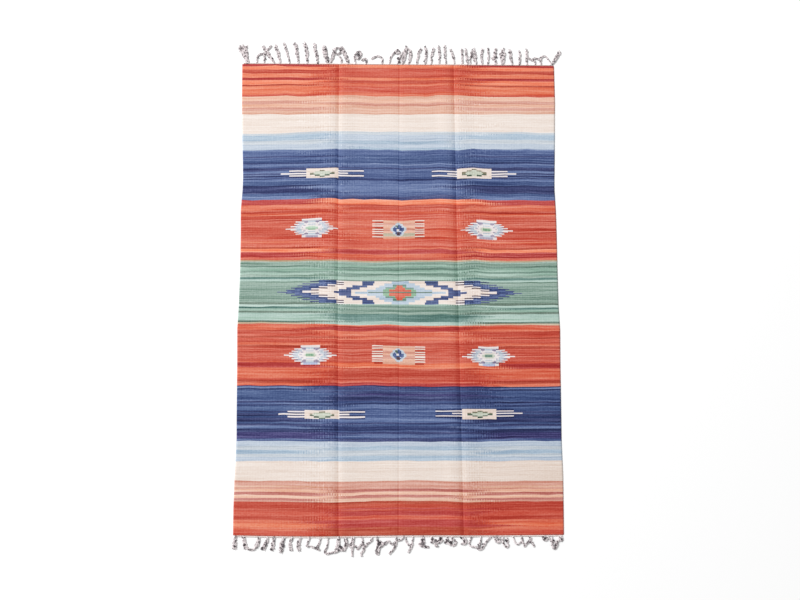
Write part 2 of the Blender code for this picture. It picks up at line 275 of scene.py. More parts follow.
# Streak edges were read by eye off the photo's rows and turned into millimetres by a script, and
# each dye was chosen by the photo's colour there
BANDS = (
    Band(
        "far red", 900, 773, 0.06, 0.06, 0.16, 0.08,
        streaks(
            (891, Dye.CRIMSON), (878, Dye.LIGHT_ORANGE), (863, Dye.RED_CORAL), (847, Dye.ORANGE),
            (837, Dye.CRIMSON), (819, Dye.LIGHT_ORANGE), (813, Dye.BRICK), (781, Dye.ORANGE),
            (773, Dye.CORAL),
        ),
        streaks(
            (888, Dye.ORANGE), (877, Dye.RED_CORAL), (855, Dye.CORAL), (848, Dye.RED_CORAL),
            (838, Dye.ORANGE), (824, Dye.RED_CORAL), (815, Dye.ORANGE_CORAL), (784, Dye.CORAL),
            (773, Dye.ORANGE_CORAL),
        ),
    ),
    Band(
        "far salmon", 773, 699, -0.03, -0.02, 0.0, 0.08,
        streaks(
            (754, Dye.PEACH), (741, Dye.ROSE), (727, Dye.PEACH), (715, Dye.ROSE), (707, Dye.SALMON),
            (699, Dye.SALMON),
        ),
        streaks(
            (758, Dye.SALMON), (745, Dye.PEACH), (733, Dye.ROSE), (707, Dye.SALMON),
            (699, Dye.SALMON),
        ),
    ),
    Band(
        "far cream", 699, 628, -0.05, 0.0, 0.0, 0.05,
        streaks(
            (644, Dye.ECRU), (628, Dye.ECRU),
        ),
        streaks(
            (644, Dye.ECRU), (628, Dye.ECRU),
        ),
    ),
    Band(
        "far pale blue", 628, 557, 0.0, 0.0, 0.0, 0.06,
        streaks(
            (620, Dye.DOVE), (597, Dye.SKY), (580, Dye.DOVE), (557, Dye.PALE_BLUE),
        ),
        streaks(
            (616, Dye.DOVE), (591, Dye.PALE_BLUE), (581, Dye.DEEP_SKY), (565, Dye.PALE_BLUE),
            (557, Dye.SKY),
        ),
    ),
    Band(
        "far navy", 557, 359, 0.02, 0.09, 0.0, 0.085,
        streaks(
            (549, Dye.STEEL), (531, Dye.SLATE), (526, Dye.INDIGO), (515, Dye.SLATE), (507, Dye.BLUE),
            (501, Dye.MIDNIGHT), (492, Dye.STEEL), (486, Dye.SLATE), (478, Dye.INDIGO),
            (438, Dye.STEEL, Dye.INDIGO), (431, Dye.STEEL), (415, Dye.BLUE), (384, Dye.INDIGO),
            (374, Dye.BLUE), (359, Dye.STEEL),
        ),
        streaks(
            (547, Dye.SLATE), (536, Dye.SLATE), (528, Dye.BLUE), (519, Dye.BLUE), (504, Dye.BLUE),
            (496, Dye.STEEL), (489, Dye.SLATE), (482, Dye.INDIGO), (441, Dye.SLATE),
            (433, Dye.MIDNIGHT), (420, Dye.SLATE), (389, Dye.STEEL), (375, Dye.SLATE),
            (359, Dye.INDIGO),
        ),
    ),
    Band(
        "far middle red", 359, 124, 0.06, 0.04, 0.06, 0.17,
        streaks(
            (339, Dye.CRIMSON), (317, Dye.ORANGE_CORAL), (305, Dye.RED_CORAL),
            (296, Dye.ORANGE_CORAL), (222, Dye.CORAL, Dye.RED_CORAL), (215, Dye.RED_CORAL),
            (196, Dye.CORAL), (189, Dye.ORANGE_CORAL), (173, Dye.CORAL), (167, Dye.BRICK),
            (154, Dye.LIGHT_ORANGE), (134, Dye.CRIMSON), (124, Dye.CORAL),
        ),
        streaks(
            (338, Dye.LIGHT_ORANGE), (323, Dye.RED_CORAL), (314, Dye.CORAL), (307, Dye.ORANGE_CORAL),
            (281, Dye.CORAL), (203, Dye.CORAL, Dye.ORANGE_CORAL), (175, Dye.CORAL),
            (168, Dye.ORANGE_CORAL), (151, Dye.CRIMSON), (134, Dye.ORANGE_CORAL),
            (124, Dye.RED_CORAL),
        ),
    ),
    Band(
        "green", 124, -124, -0.03, 0.05, 0.0, 0.13,
        streaks(
            (118, Dye.STRAW), (102, Dye.SAGE), (94, Dye.TEAL), (80, Dye.MINT), (74, Dye.TEAL),
            (66, Dye.MINT), (56, Dye.SAGE), (48, Dye.DEEP_TEAL), (39, Dye.PALE_MINT), (25, Dye.SAGE),
            (-29, Dye.SAGE, Dye.TEAL), (-42, Dye.SAGE), (-49, Dye.DARK_SAGE), (-58, Dye.PALE_MINT),
            (-65, Dye.DEEP_TEAL), (-74, Dye.MINT), (-82, Dye.DARK_SAGE), (-99, Dye.PALE_MINT),
            (-102, Dye.MINT), (-111, Dye.PALE_MINT), (-118, Dye.DARK_SAGE), (-124, Dye.STRAW),
        ),
        streaks(
            (116, Dye.STRAW), (106, Dye.SAGE), (99, Dye.MINT), (86, Dye.TEAL), (77, Dye.MINT),
            (68, Dye.TEAL), (59, Dye.SAGE), (49, Dye.MINT), (41, Dye.DARK_SAGE), (-41, Dye.SAGE),
            (-48, Dye.MINT), (-56, Dye.TEAL), (-67, Dye.SAGE), (-74, Dye.TEAL), (-83, Dye.SAGE),
            (-110, Dye.DEEP_TEAL), (-124, Dye.PALE_MINT),
        ),
    ),
    Band(
        "near middle red", -124, -353, 0.09, 0.09, 0.10, 0.15,
        streaks(
            (-129, Dye.CORAL), (-147, Dye.ORANGE_CORAL), (-162, Dye.RED_CORAL), (-170, Dye.CORAL),
            (-176, Dye.BRICK), (-186, Dye.CORAL), (-193, Dye.RED_CORAL), (-203, Dye.ORANGE_CORAL),
            (-209, Dye.BRICK), (-262, Dye.CORAL, Dye.RED_CORAL), (-269, Dye.ORANGE_CORAL),
            (-286, Dye.CRIMSON), (-324, Dye.ORANGE_CORAL), (-331, Dye.CORAL), (-342, Dye.BRICK),
            (-353, Dye.ORANGE_CORAL),
        ),
        streaks(
            (-130, Dye.ORANGE_CORAL), (-145, Dye.CRIMSON), (-164, Dye.ORANGE_CORAL),
            (-171, Dye.RED_CORAL), (-180, Dye.ORANGE_CORAL), (-189, Dye.CORAL),
            (-201, Dye.RED_CORAL), (-269, Dye.CORAL, Dye.RED_CORAL), (-286, Dye.ORANGE),
            (-296, Dye.RED_CORAL), (-331, Dye.RED_CORAL), (-341, Dye.CORAL), (-353, Dye.CRIMSON),
        ),
    ),
    Band(
        "near navy", -353, -556, 0.04, 0.17, 0.06, 0.11,
        streaks(
            (-357, Dye.MIDNIGHT), (-363, Dye.STEEL), (-369, Dye.MIDNIGHT), (-405, Dye.BLUE),
            (-409, Dye.SLATE), (-415, Dye.INDIGO), (-421, Dye.SLATE), (-427, Dye.MIDNIGHT),
            (-448, Dye.BLUE), (-476, Dye.BLUE, Dye.INDIGO), (-486, Dye.INDIGO), (-492, Dye.BLUE),
            (-500, Dye.INDIGO), (-510, Dye.STEEL), (-516, Dye.MIDNIGHT), (-524, Dye.INDIGO),
            (-547, Dye.VIOLET), (-556, Dye.SLATE),
        ),
        streaks(
            (-358, Dye.MIDNIGHT), (-366, Dye.INDIGO), (-372, Dye.BLUE), (-382, Dye.INDIGO),
            (-389, Dye.VIOLET), (-410, Dye.INDIGO), (-415, Dye.SLATE), (-421, Dye.MIDNIGHT),
            (-428, Dye.SLATE), (-471, Dye.SLATE), (-485, Dye.STEEL), (-491, Dye.INDIGO),
            (-501, Dye.BLUE), (-514, Dye.MIDNIGHT), (-521, Dye.SLATE), (-527, Dye.INDIGO),
            (-543, Dye.SLATE), (-556, Dye.INDIGO),
        ),
    ),
    Band(
        "near pale blue", -556, -627, 0.07, 0.12, 0.0, 0.07,
        streaks(
            (-574, Dye.PALE_BLUE), (-588, Dye.DOVE), (-602, Dye.SKY), (-613, Dye.DOVE),
            (-627, Dye.PALE_BLUE),
        ),
        streaks(
            (-573, Dye.PALE_BLUE), (-588, Dye.SKY), (-608, Dye.DOVE), (-627, Dye.SKY),
        ),
    ),
    Band(
        "near cream", -627, -700, 0.05, 0.2, 0.0, 0.05,
        streaks(
            (-661, Dye.ECRU), (-700, Dye.ECRU),
        ),
        streaks(
            (-661, Dye.ECRU), (-700, Dye.ECRU),
        ),
    ),
    Band(
        "near salmon", -700, -773, -0.04, 0.13, 0.04, 0.08,
        streaks(
            (-717, Dye.ROSE), (-723, Dye.SALMON), (-729, Dye.ROSE), (-739, Dye.PEACH),
            (-750, Dye.OLD_ROSE), (-760, Dye.PEACH), (-768, Dye.OLD_ROSE), (-773, Dye.ROSE),
        ),
        streaks(
            (-706, Dye.ROSE), (-729, Dye.ROSE), (-741, Dye.OLD_ROSE), (-752, Dye.PEACH),
            (-761, Dye.OLD_ROSE), (-773, Dye.SALMON),
        ),
    ),
    Band(
        "near red", -773, -900, 0.09, 0.17, 0.08, 0.08,
        streaks(
            (-808, Dye.RED_CORAL), (-826, Dye.CORAL), (-841, Dye.RED_CORAL),
            (-854, Dye.ORANGE_CORAL), (-868, Dye.ORANGE), (-880, Dye.ORANGE_CORAL),
            (-900, Dye.CORAL),
        ),
        streaks(
            (-784, Dye.BRICK), (-798, Dye.RED_CORAL), (-813, Dye.RED_CORAL, Dye.CRIMSON),
            (-827, Dye.CRIMSON), (-841, Dye.CORAL), (-852, Dye.CRIMSON), (-867, Dye.CRIMSON),
            (-900, Dye.BRICK),
        ),
    ),
)


class Run(NamedTuple):
    """A stretch of weft in one dye within a motif, in millimetres from the motif's middle."""

    low: float
    high: float
    left: float
    right: float
    dye: Dye


@dataclass(frozen=True)
class Motif:
    """A woven motif, placed by its middle in the cloth's own measure, in millimetres."""

    across: float
    along: float

    def runs(self) -> Iterator[Run]:
        """Yield the motif's runs, the later over the earlier."""
        raise NotImplementedError

    def mirrored(self, low: float, high: float, inner: float, outer: float, dye: Dye) -> Iterator[Run]:
        """Yield one run on each side of the motif's middle.

        Args:
            low: Lower edge of the runs.
            high: Upper edge of the runs.
            inner: Distance from the middle where they start.
            outer: Distance from the middle where they end.
            dye: The yarn.

        Returns:
            The two runs.
        """
        yield Run(low, high, -outer, -inner, dye)
        yield Run(low, high, inner, outer, dye)


@dataclass(frozen=True)
class Medallion(Motif):
    """The long stepped diamond in the middle of the green band."""

    row: float = 8.05
    ground: tuple[float, ...] = (365, 335, 304, 274, 241, 241)
    solid: tuple[float, ...] = (425, 395, 368, 338, 304, 304)
    finger: tuple[float, ...] = (460, 430, 410, 388, 365, 338)
    zigzag_in: tuple[float, ...] = (182, 182, 152, 125, 99, 95)
    zigzag_out: tuple[float, ...] = (250, 228, 201, 179, 144, 144)
    haze: tuple[float, ...] = (170, 122, 92, 76, 57, 32)
    leaf: tuple[float, ...] = (62, 62, 53, 26, 0, 0)
    ember: tuple[float, ...] = (40, 40, 19, 11, 0, 0)
    # Rims outside the ground's edge, the white inside it, and half widths at the tip and the waist
    blue_rim: float = 34
    dark_rim: float = 40
    white_edge: float = 32
    tip: float = 26
    waist: float = 120

    def runs(self) -> Iterator[Run]:
        """Yield the diamond row by row, from its middle line out."""
        for index in range(len(self.ground)):
            for way in ((1,) if index == 0 else (1, -1)):
                yield from self.row_runs(index, way)

    def row_runs(self, index: int, way: int) -> Iterator[Run]:
        """Yield the runs of one row.

        Args:
            index: Rows from the middle line.
            way: 1 for the far side of the middle line, -1 for the near side.

        Returns:
            The row's runs, the later over the earlier.
        """
        near_line = (index - 0.5) * self.row * way
        half_line = index * self.row * way
        far_line = (index + 0.5) * self.row * way
        inner = sorted((near_line, half_line))
        outer = sorted((half_line, far_line))
        whole = sorted((near_line, far_line))
        ground = self.ground[index]
        yield from self.mirrored(*inner, ground, self.finger[index], Dye.INDIGO)
        yield from self.mirrored(*whole, ground, self.solid[index], Dye.SLATE)
        yield from self.mirrored(*whole, ground, ground + self.blue_rim, Dye.BLUE)
        yield from self.mirrored(*inner, ground, ground + self.dark_rim, Dye.MIDNIGHT)
        yield Run(*whole, -ground, ground, Dye.ECRU)
        edge = ground - self.white_edge
        yield from self.mirrored(*outer, edge, ground, Dye.WHITE)
        if index:
            yield from self.mirrored(*inner, edge, ground, Dye.COCOA)
        yield from self.mirrored(*whole, self.zigzag_in[index], self.zigzag_out[index], Dye.BLUE)
        yield from self.mirrored(*inner, self.zigzag_in[index], self.zigzag_out[index], Dye.INDIGO)
        haze = self.haze[index]
        yield Run(*whole, -haze, haze, Dye.SKY)
        leaf = self.leaf[index]
        yield Run(*whole, -leaf, leaf, Dye.LEAF)
        if index in (2, 3):
            yield from self.mirrored(*outer, self.ember[index], leaf, Dye.DEEP_TEAL)
        if index == 4:
            yield Run(*inner, -self.tip, self.tip, Dye.DEEP_TEAL)
        ember = self.ember[index]
        yield Run(*whole, -ember, ember, Dye.CORAL)
        if index == 0:
            yield Run(*outer, -self.waist, self.waist, Dye.DARK_SAGE)


@dataclass(frozen=True)
class FingerPanel(Motif):
    """An undyed panel in a navy band, with fingers reaching out of both sides."""

    half_width: float = 63.0
    half_height: float = 19.0
    inward: int = 1
    finger: float = 4.6
    long_reach: float = 97.0
    middle_reach: float = 37.0
    short_reach: float = 63.0

    def runs(self) -> Iterator[Run]:
        """Yield the fingers, the panel and its small outlined diamond."""
        inner, outer = self.half_width + self.long_reach, self.half_width + self.short_reach
        left, right = (-outer, inner) if self.inward > 0 else (-inner, outer)
        for low, high in ((-16, -12), (-6, -3), (3, 6), (12, 16)):
            yield Run(low, high, left, right, Dye.MIDNIGHT)
        for level in (-9.5, 9.5):
            yield Run(level - self.finger / 2, level + self.finger / 2, left, right, Dye.WHITE)
        inner, outer = self.half_width + self.middle_reach, self.half_width + self.long_reach
        left, right = (-outer, inner) if self.inward > 0 else (-inner, outer)
        yield Run(-self.finger / 2, self.finger / 2, left, right, Dye.WHITE)
        yield Run(-self.half_height, self.half_height, -self.half_width, self.half_width, Dye.ECRU)
        for low, high, reach, dye in (
            (9, 13, 10, Dye.OLIVE), (5, 9, 29, Dye.OLIVE), (-2, 5, 47, Dye.OLIVE),
            (-6, -2, 47, Dye.MOSS), (-10, -6, 29, Dye.MOSS), (-14, -10, 10, Dye.MOSS),
        ):
            yield Run(low, high, -reach, reach, dye)
        for low, high, reach in ((5, 9, 10), (2, 5, 29), (-2, 2, 34), (-6, -2, 29), (-10, -6, 10)):
            yield Run(low, high, -reach, reach, Dye.PALE_SAGE)


@dataclass(frozen=True)
class Star(Motif):
    """A stepped star in a red band."""

    row: float = 8.1
    near_bar: Dye = Dye.LAVENDER
    eye: Dye = Dye.LEAF
    eye_ring: Dye = Dye.PALE_SAGE
    bodies: tuple[float, ...] = (62, 58, 46, 30, 37)
    fingers: tuple[float, ...] = (98, 80, 68, 60, 37)
    creams: tuple[float, ...] = (44, 38, 30)
    # Half widths of the rings about the eye, row by row, and of the eye
    rings: tuple[float, ...] = (22, 16, 14)
    eye_reach: float = 14
    # How far runs lap under the body, stand out from it or lie inside its edge
    lap: float = 4
    outline: float = 6
    finger_shade: float = 8
    rim: float = 9
    inset: float = 12
    notch: tuple[float, float] = (14, 30)

    def runs(self) -> Iterator[Run]:
        """Yield the star row by row, from its middle line out."""
        for index in range(len(self.bodies)):
            for way in ((1,) if index == 0 else (1, -1)):
                yield from self.row_runs(index, way)

    def row_runs(self, index: int, way: int) -> Iterator[Run]:
        """Yield the runs of one row.

        Args:
            index: Rows from the middle line.
            way: 1 for the far side of the middle line, -1 for the near side.

        Returns:
            The row's runs, the later over the earlier.
        """
        inner = sorted(((index - 0.5) * self.row * way, index * self.row * way))
        outer = sorted((index * self.row * way, (index + 0.5) * self.row * way))
        whole = (min(inner), max(outer)) if way > 0 else (min(outer), max(inner))
        body, finger = self.bodies[index], self.fingers[index]
        yield from self.mirrored(*outer, body - self.lap, finger - self.finger_shade, Dye.BRICK)
        if index < 4:
            yield from self.mirrored(*outer, body - self.lap, body + self.outline, Dye.MAUVE)
        yield from self.mirrored(*inner, body - self.lap, finger, Dye.WHITE)
        if index == 4:
            yield Run(*whole, -body, body, Dye.WHITE)
            if way < 0:
                yield Run(*whole, -body + self.inset, body - self.inset, self.near_bar)
            return
        yield Run(*whole, -body, body, Dye.DOVE)
        yield from self.mirrored(*outer, body - self.rim, body, Dye.LILAC)
        if index == 3:
            yield from self.mirrored(*inner, *self.notch, Dye.MAUVE)
            yield from self.mirrored(*outer, *self.notch, Dye.LILAC)
            return
        cream, ring = self.creams[index], self.rings[index]
        yield Run(*whole, -cream, cream, Dye.WHITE)
        yield from self.mirrored(*outer, cream - self.inset, cream - self.lap, Dye.LILAC)
        if index:
            yield Run(*inner, -ring, ring, self.eye_ring if index == 1 else Dye.DOVE)
        else:
            yield Run(*whole, -ring, ring, self.eye_ring)
            yield Run(*whole, -self.eye_reach, self.eye_reach, self.eye)


@dataclass(frozen=True)
class CombPanel(Motif):
    """A striped panel in a red band, with combed sides and a small eye."""

    dyes: tuple[Dye, ...]
    half_width: float = 59.0
    stripe: float = 9.8
    tooth: float = 4.2
    comb: float = 40.0

    def runs(self) -> Iterator[Run]:
        """Yield the combs, the stripes and the eye."""
        top = self.stripe * len(self.dyes) / 2
        for index, dye in enumerate(self.dyes):
            high = top - index * self.stripe
            low = high - self.stripe
            reach = self.half_width + self.comb
            yield from self.mirrored(low, high - self.tooth, self.half_width, reach - 6, Dye.BRICK)
            yield from self.mirrored(high - self.tooth, high, self.half_width, reach, Dye.ECRU)
            yield Run(low, high, -self.half_width, self.half_width, dye)
        for height, reach in ((27, 6), (22, 13), (16, 20), (11, 26), (6, 31)):
            yield Run(-height, height, -reach, reach, Dye.DOVE)
        for height, reach in ((21, 5), (16, 11), (11, 16), (6, 21)):
            yield Run(-height, height, -reach, reach, Dye.SLATE)
        yield Run(6, 16, -11, -2, Dye.MOSS)
        yield Run(-11, 11, 5, 12, Dye.MIDNIGHT)
        yield from self.mirrored(-11, -6, 0, 8, Dye.LAVENDER)
        yield from self.mirrored(6, 11, 8, 14, Dye.LAVENDER)
        yield Run(-20, -9, -6, 5, Dye.COCOA)
        yield Run(-5, 5, -6, 3, Dye.WHITE)


MOTIFS: tuple[Motif, ...] = (
    Medallion(5, 0),
    FingerPanel(-291, 461, inward=1),
    FingerPanel(294, 462, inward=-1, half_width=65),
    FingerPanel(-288, -458, inward=1, half_width=64),
    FingerPanel(293, -455, inward=-1, half_width=64),
    Star(-329, 246, near_bar=Dye.LILAC, eye=Dye.PALE_LEAF, eye_ring=Dye.PALE_LEAF),
    Star(335, 241, near_bar=Dye.LILAC),
    Star(-332, -239, eye=Dye.LEAF),
    Star(332, -238, eye=Dye.TEAL),
    CombPanel(0, 243, (Dye.PEACH, Dye.ROSE, Dye.PEACH, Dye.ROSE, Dye.PEACH, Dye.STRAW, Dye.PEACH)),
    CombPanel(0, -236, (Dye.SALMON, Dye.PEACH, Dye.ROSE, Dye.PEACH, Dye.ROSE, Dye.PEACH, Dye.SALMON)),
)


@dataclass(frozen=True)
class WeftCotton:
    """Soft-spun dyed cotton, beaten down over the warps until it hides them.

    The yarn is matt and slightly hairy, so it scatters light evenly, with a faint sheen at a low
    angle. The dye takes unevenly along each weft, which gives the streaks their fine grain.
    """

    name: str = "weft cotton, dyed and flat-woven"
    roughness: float = 0.92
    ior: float = 1.45
    specular: float = 0.25
    sheen: float = 0.12
    sheen_roughness: float = 0.55
    # A weft is about 1.5 mm thick, under half a pixel here, so its grain is drawn at 3 mm
    grain: tuple[float, float] = (12.0, 3.0)
    grain_depth: float = 0.15
    # Lengths of weft that took more or less dye than their neighbours
    lines: tuple[float, float] = (240.0, 4.6)
    line_depth: float = 0.3
    # Between these values lies nearly all of the noise
    noise_range: tuple[float, float] = (0.25, 0.75)
    bump_height: float = 0.35
    bump_distance: float = 0.001

    def material(self) -> bpy.types.Material:
        """Build the material.

        Returns:
            The cloth's material, which reads the dyes from the mesh.
        """
        material, tree, shader = new_material(self.name)
        set_constants(shader, self.roughness, self.ior, self.specular)
        shader.inputs["Sheen Weight"].default_value = self.sheen
        shader.inputs["Sheen Roughness"].default_value = self.sheen_roughness
        dyes = add_node(tree, "ShaderNodeAttribute", {"attribute_name": "dyed_yarn"})
        cloth = add_node(tree, "ShaderNodeUVMap", {"uv_map": "cloth"})
        grain = self.uneven(tree, cloth, self.grain, self.grain_depth)
        lines = self.uneven(tree, cloth, self.lines, self.line_depth)
        depth = add_node(
            tree,
            "ShaderNodeMath",
            {"operation": "MULTIPLY"},
            {0: grain.outputs[0], 1: lines.outputs[0]},
        )
        # A deeper dye takes more out of the light the less of it the yarn gives back
        fed = {"Color": dyes.outputs["Color"], "Gamma": depth.outputs[0]}
        dyed = add_node(tree, "ShaderNodeGamma", {}, fed)
        bump = add_node(
            tree,
            "ShaderNodeBump",
            {"Strength": self.bump_height, "Distance": self.bump_distance},
            {"Height": grain.outputs[0]},
        )
        tree.links.new(dyed.outputs[0], shader.inputs["Base Color"])
        tree.links.new(bump.outputs[0], shader.inputs["Normal"])
        return material

    def uneven(
        self,
        tree: bpy.types.NodeTree,
        cloth: bpy.types.Node,
        size: tuple[float, float],
        depth: float,
    ) -> bpy.types.Node:
        """Add the nodes for dye that took unevenly.

        Args:
            tree: The material's tree.
            cloth: The node that gives the cloth's own measure.
            size: How long and how thick the uneven places are, in millimetres.
            depth: How far the dye's depth strays from 1.

        Returns:
            The node that gives the depth.
        """
        stretch = (1000 / size[0], 1000 / size[1], 1.0)
        place = add_node(tree, "ShaderNodeMapping", {"Scale": stretch}, {"Vector": cloth.outputs[0]})
        noise = add_node(
            tree,
            "ShaderNodeTexNoise",
            {"Scale": 1.0, "Detail": 2.0, "Roughness": 0.6},
            {"Vector": place.outputs[0]},
        )
        low, high = self.noise_range
        return add_node(
            tree,
            "ShaderNodeMapRange",
            {"From Min": low, "From Max": high, "To Min": 1 - depth, "To Max": 1 + depth},
            {"Value": noise.outputs["Fac"]},
        )


@dataclass(frozen=True)
class WarpCotton:
    """Ring-spun undyed cotton, plied hard for the warps and left to curl in the fringe.

    The tight twist keeps it matt, and the shade in the grooves between its plies is painted in.
    """

    name: str = "warp cotton, ring-spun and plied"
    colour: str = "ece3e4"
    # Painted shade of the grooves between the plies, mixed in by the mottling
    painted_groove_shade: str = "6a5f63"
    roughness: float = 0.88
    ior: float = 1.45
    specular: float = 0.2
    # Single fibres don't show here, so the mottling is drawn at 7 mm
    mottle: float = 7.0
    # The noise's values where the painted groove shade ends and where the full colour starts
    groove_edges: tuple[float, float] = (0.38, 0.52)
    bump_height: float = 0.3
    bump_distance: float = 0.0006

    def material(self) -> bpy.types.Material:
        """Build the material.

        Returns:
            The fringe's material.
        """
        material, tree, shader = new_material(self.name)
        set_constants(shader, self.roughness, self.ior, self.specular)
        place = add_node(tree, "ShaderNodeTexCoord")
        mottle = add_node(
            tree,
            "ShaderNodeTexNoise",
            {"Scale": 1000 / self.mottle, "Detail": 2.0},
            {"Vector": place.outputs["Object"]},
        )
        painted_shade_mask = add_node(
            tree,
            "ShaderNodeMapRange",
            {"From Min": self.groove_edges[0], "From Max": self.groove_edges[1]},
            {"Value": mottle.outputs["Fac"]},
        )
        mixed = add_node(
            tree,
            "ShaderNodeMix",
            {"data_type": "RGBA", 6: (*linear(self.painted_groove_shade), 1.0), 7: (*linear(self.colour), 1.0)},
            {0: painted_shade_mask.outputs[0]},
        )
        bump = add_node(
            tree,
            "ShaderNodeBump",
            {"Strength": self.bump_height, "Distance": self.bump_distance},
            {"Height": mottle.outputs["Fac"]},
        )
        tree.links.new(mixed.outputs[2], shader.inputs["Base Color"])
        tree.links.new(bump.outputs[0], shader.inputs["Normal"])
        return material


@dataclass(frozen=True)
class FloorPaint:
    """Flat white paint on the studio floor: bright, even and without a highlight."""

    name: str = "floor paint, matt white"
    colour: str = "fcfcfc"
    roughness: float = 0.9
    ior: float = 1.45
    specular: float = 0.0

    def material(self) -> bpy.types.Material:
        """Build the material.

        Returns:
            The floor's material.
        """
        material, tree, shader = new_material(self.name)
        set_constants(shader, self.roughness, self.ior, self.specular)
        shader.inputs["Base Color"].default_value = (*linear(self.colour), 1.0)
        return material


def new_material(name: str) -> tuple[bpy.types.Material, bpy.types.NodeTree, bpy.types.Node]:
    """Start a material with a principled shader.

    Args:
        name: The real material's name.

    Returns:
        The material, its node tree and its shader.
    """
    material = bpy.data.materials.new(name)
    material.use_nodes = True
    tree = material.node_tree
    return material, tree, tree.nodes["Principled BSDF"]


def set_constants(shader: bpy.types.Node, roughness: float, ior: float, specular: float) -> None:
    """Set a shader's constant sockets for a material that isn't a metal.

    Args:
        shader: The principled shader.
        roughness: Its roughness.
        ior: Its index of refraction.
        specular: Its specular level.
    """
    shader.inputs["Metallic"].default_value = 0.0
    shader.inputs["Roughness"].default_value = roughness
    shader.inputs["IOR"].default_value = ior
    shader.inputs["Specular IOR Level"].default_value = specular


def add_node(
    tree: bpy.types.NodeTree,
    kind: str,
    settings: dict | None = None,
    links: dict | None = None,
) -> bpy.types.Node:
    """Add a node with its settings and links.

    Args:
        tree: The tree it goes into.
        kind: Its Blender type.
        settings: Values for its properties or its input sockets, by name or number.
        links: The output that feeds each of its input sockets, by name or number.

    Returns:
        The new node.
    """
    node = tree.nodes.new(kind)
    for key, value in (settings or {}).items():
        if isinstance(key, str) and hasattr(node, key):
            setattr(node, key, value)
        else:
            node.inputs[key].default_value = value
    for key, output in (links or {}).items():
        tree.links.new(output, node.inputs[key])
    return node


def smooth_step(share: np.ndarray) -> np.ndarray:
    """Ease a share from 0 to 1, flat at both ends."""
    share = np.clip(share, 0.0, 1.0)
    return share * share * (3.0 - 2.0 * share)


def smooth_noise(rng: np.random.Generator, shape: tuple[int, int], grain: tuple[int, int]) -> np.ndarray:
    """Return noise about 0 that changes smoothly.

    Args:
        rng: The seeded source of chance.
        shape: Rows and columns wanted.
        grain: How many rows and columns lie between two free values.

    Returns:
        The noise, about 1 strong.
    """
    free = rng.normal(0.0, 1.0, [math.ceil(size / step) + 2 for size, step in zip(shape, grain)])
    across = np.arange(shape[1]) / grain[1]
    along = np.arange(shape[0]) / grain[0]
    widened = np.array([np.interp(across, range(len(line)), line) for line in free])
    return np.array([np.interp(along, range(len(line)), line) for line in widened.T]).T


def place_piece(
    name: str,
    mesh: bpy.types.Mesh,
    material: bpy.types.Material,
) -> bpy.types.Object:
    """Put a finished mesh into the scene, riding on the rug's one body.

    Args:
        name: The piece's name.
        mesh: Its mesh, in the rug's own frame.
        material: Its finish.

    Returns:
        The new object.
    """
    mesh.materials.append(material)
    piece = bpy.data.objects.new(name, mesh)
    bpy.context.scene.collection.objects.link(piece)
    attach(piece, "root")
    return piece


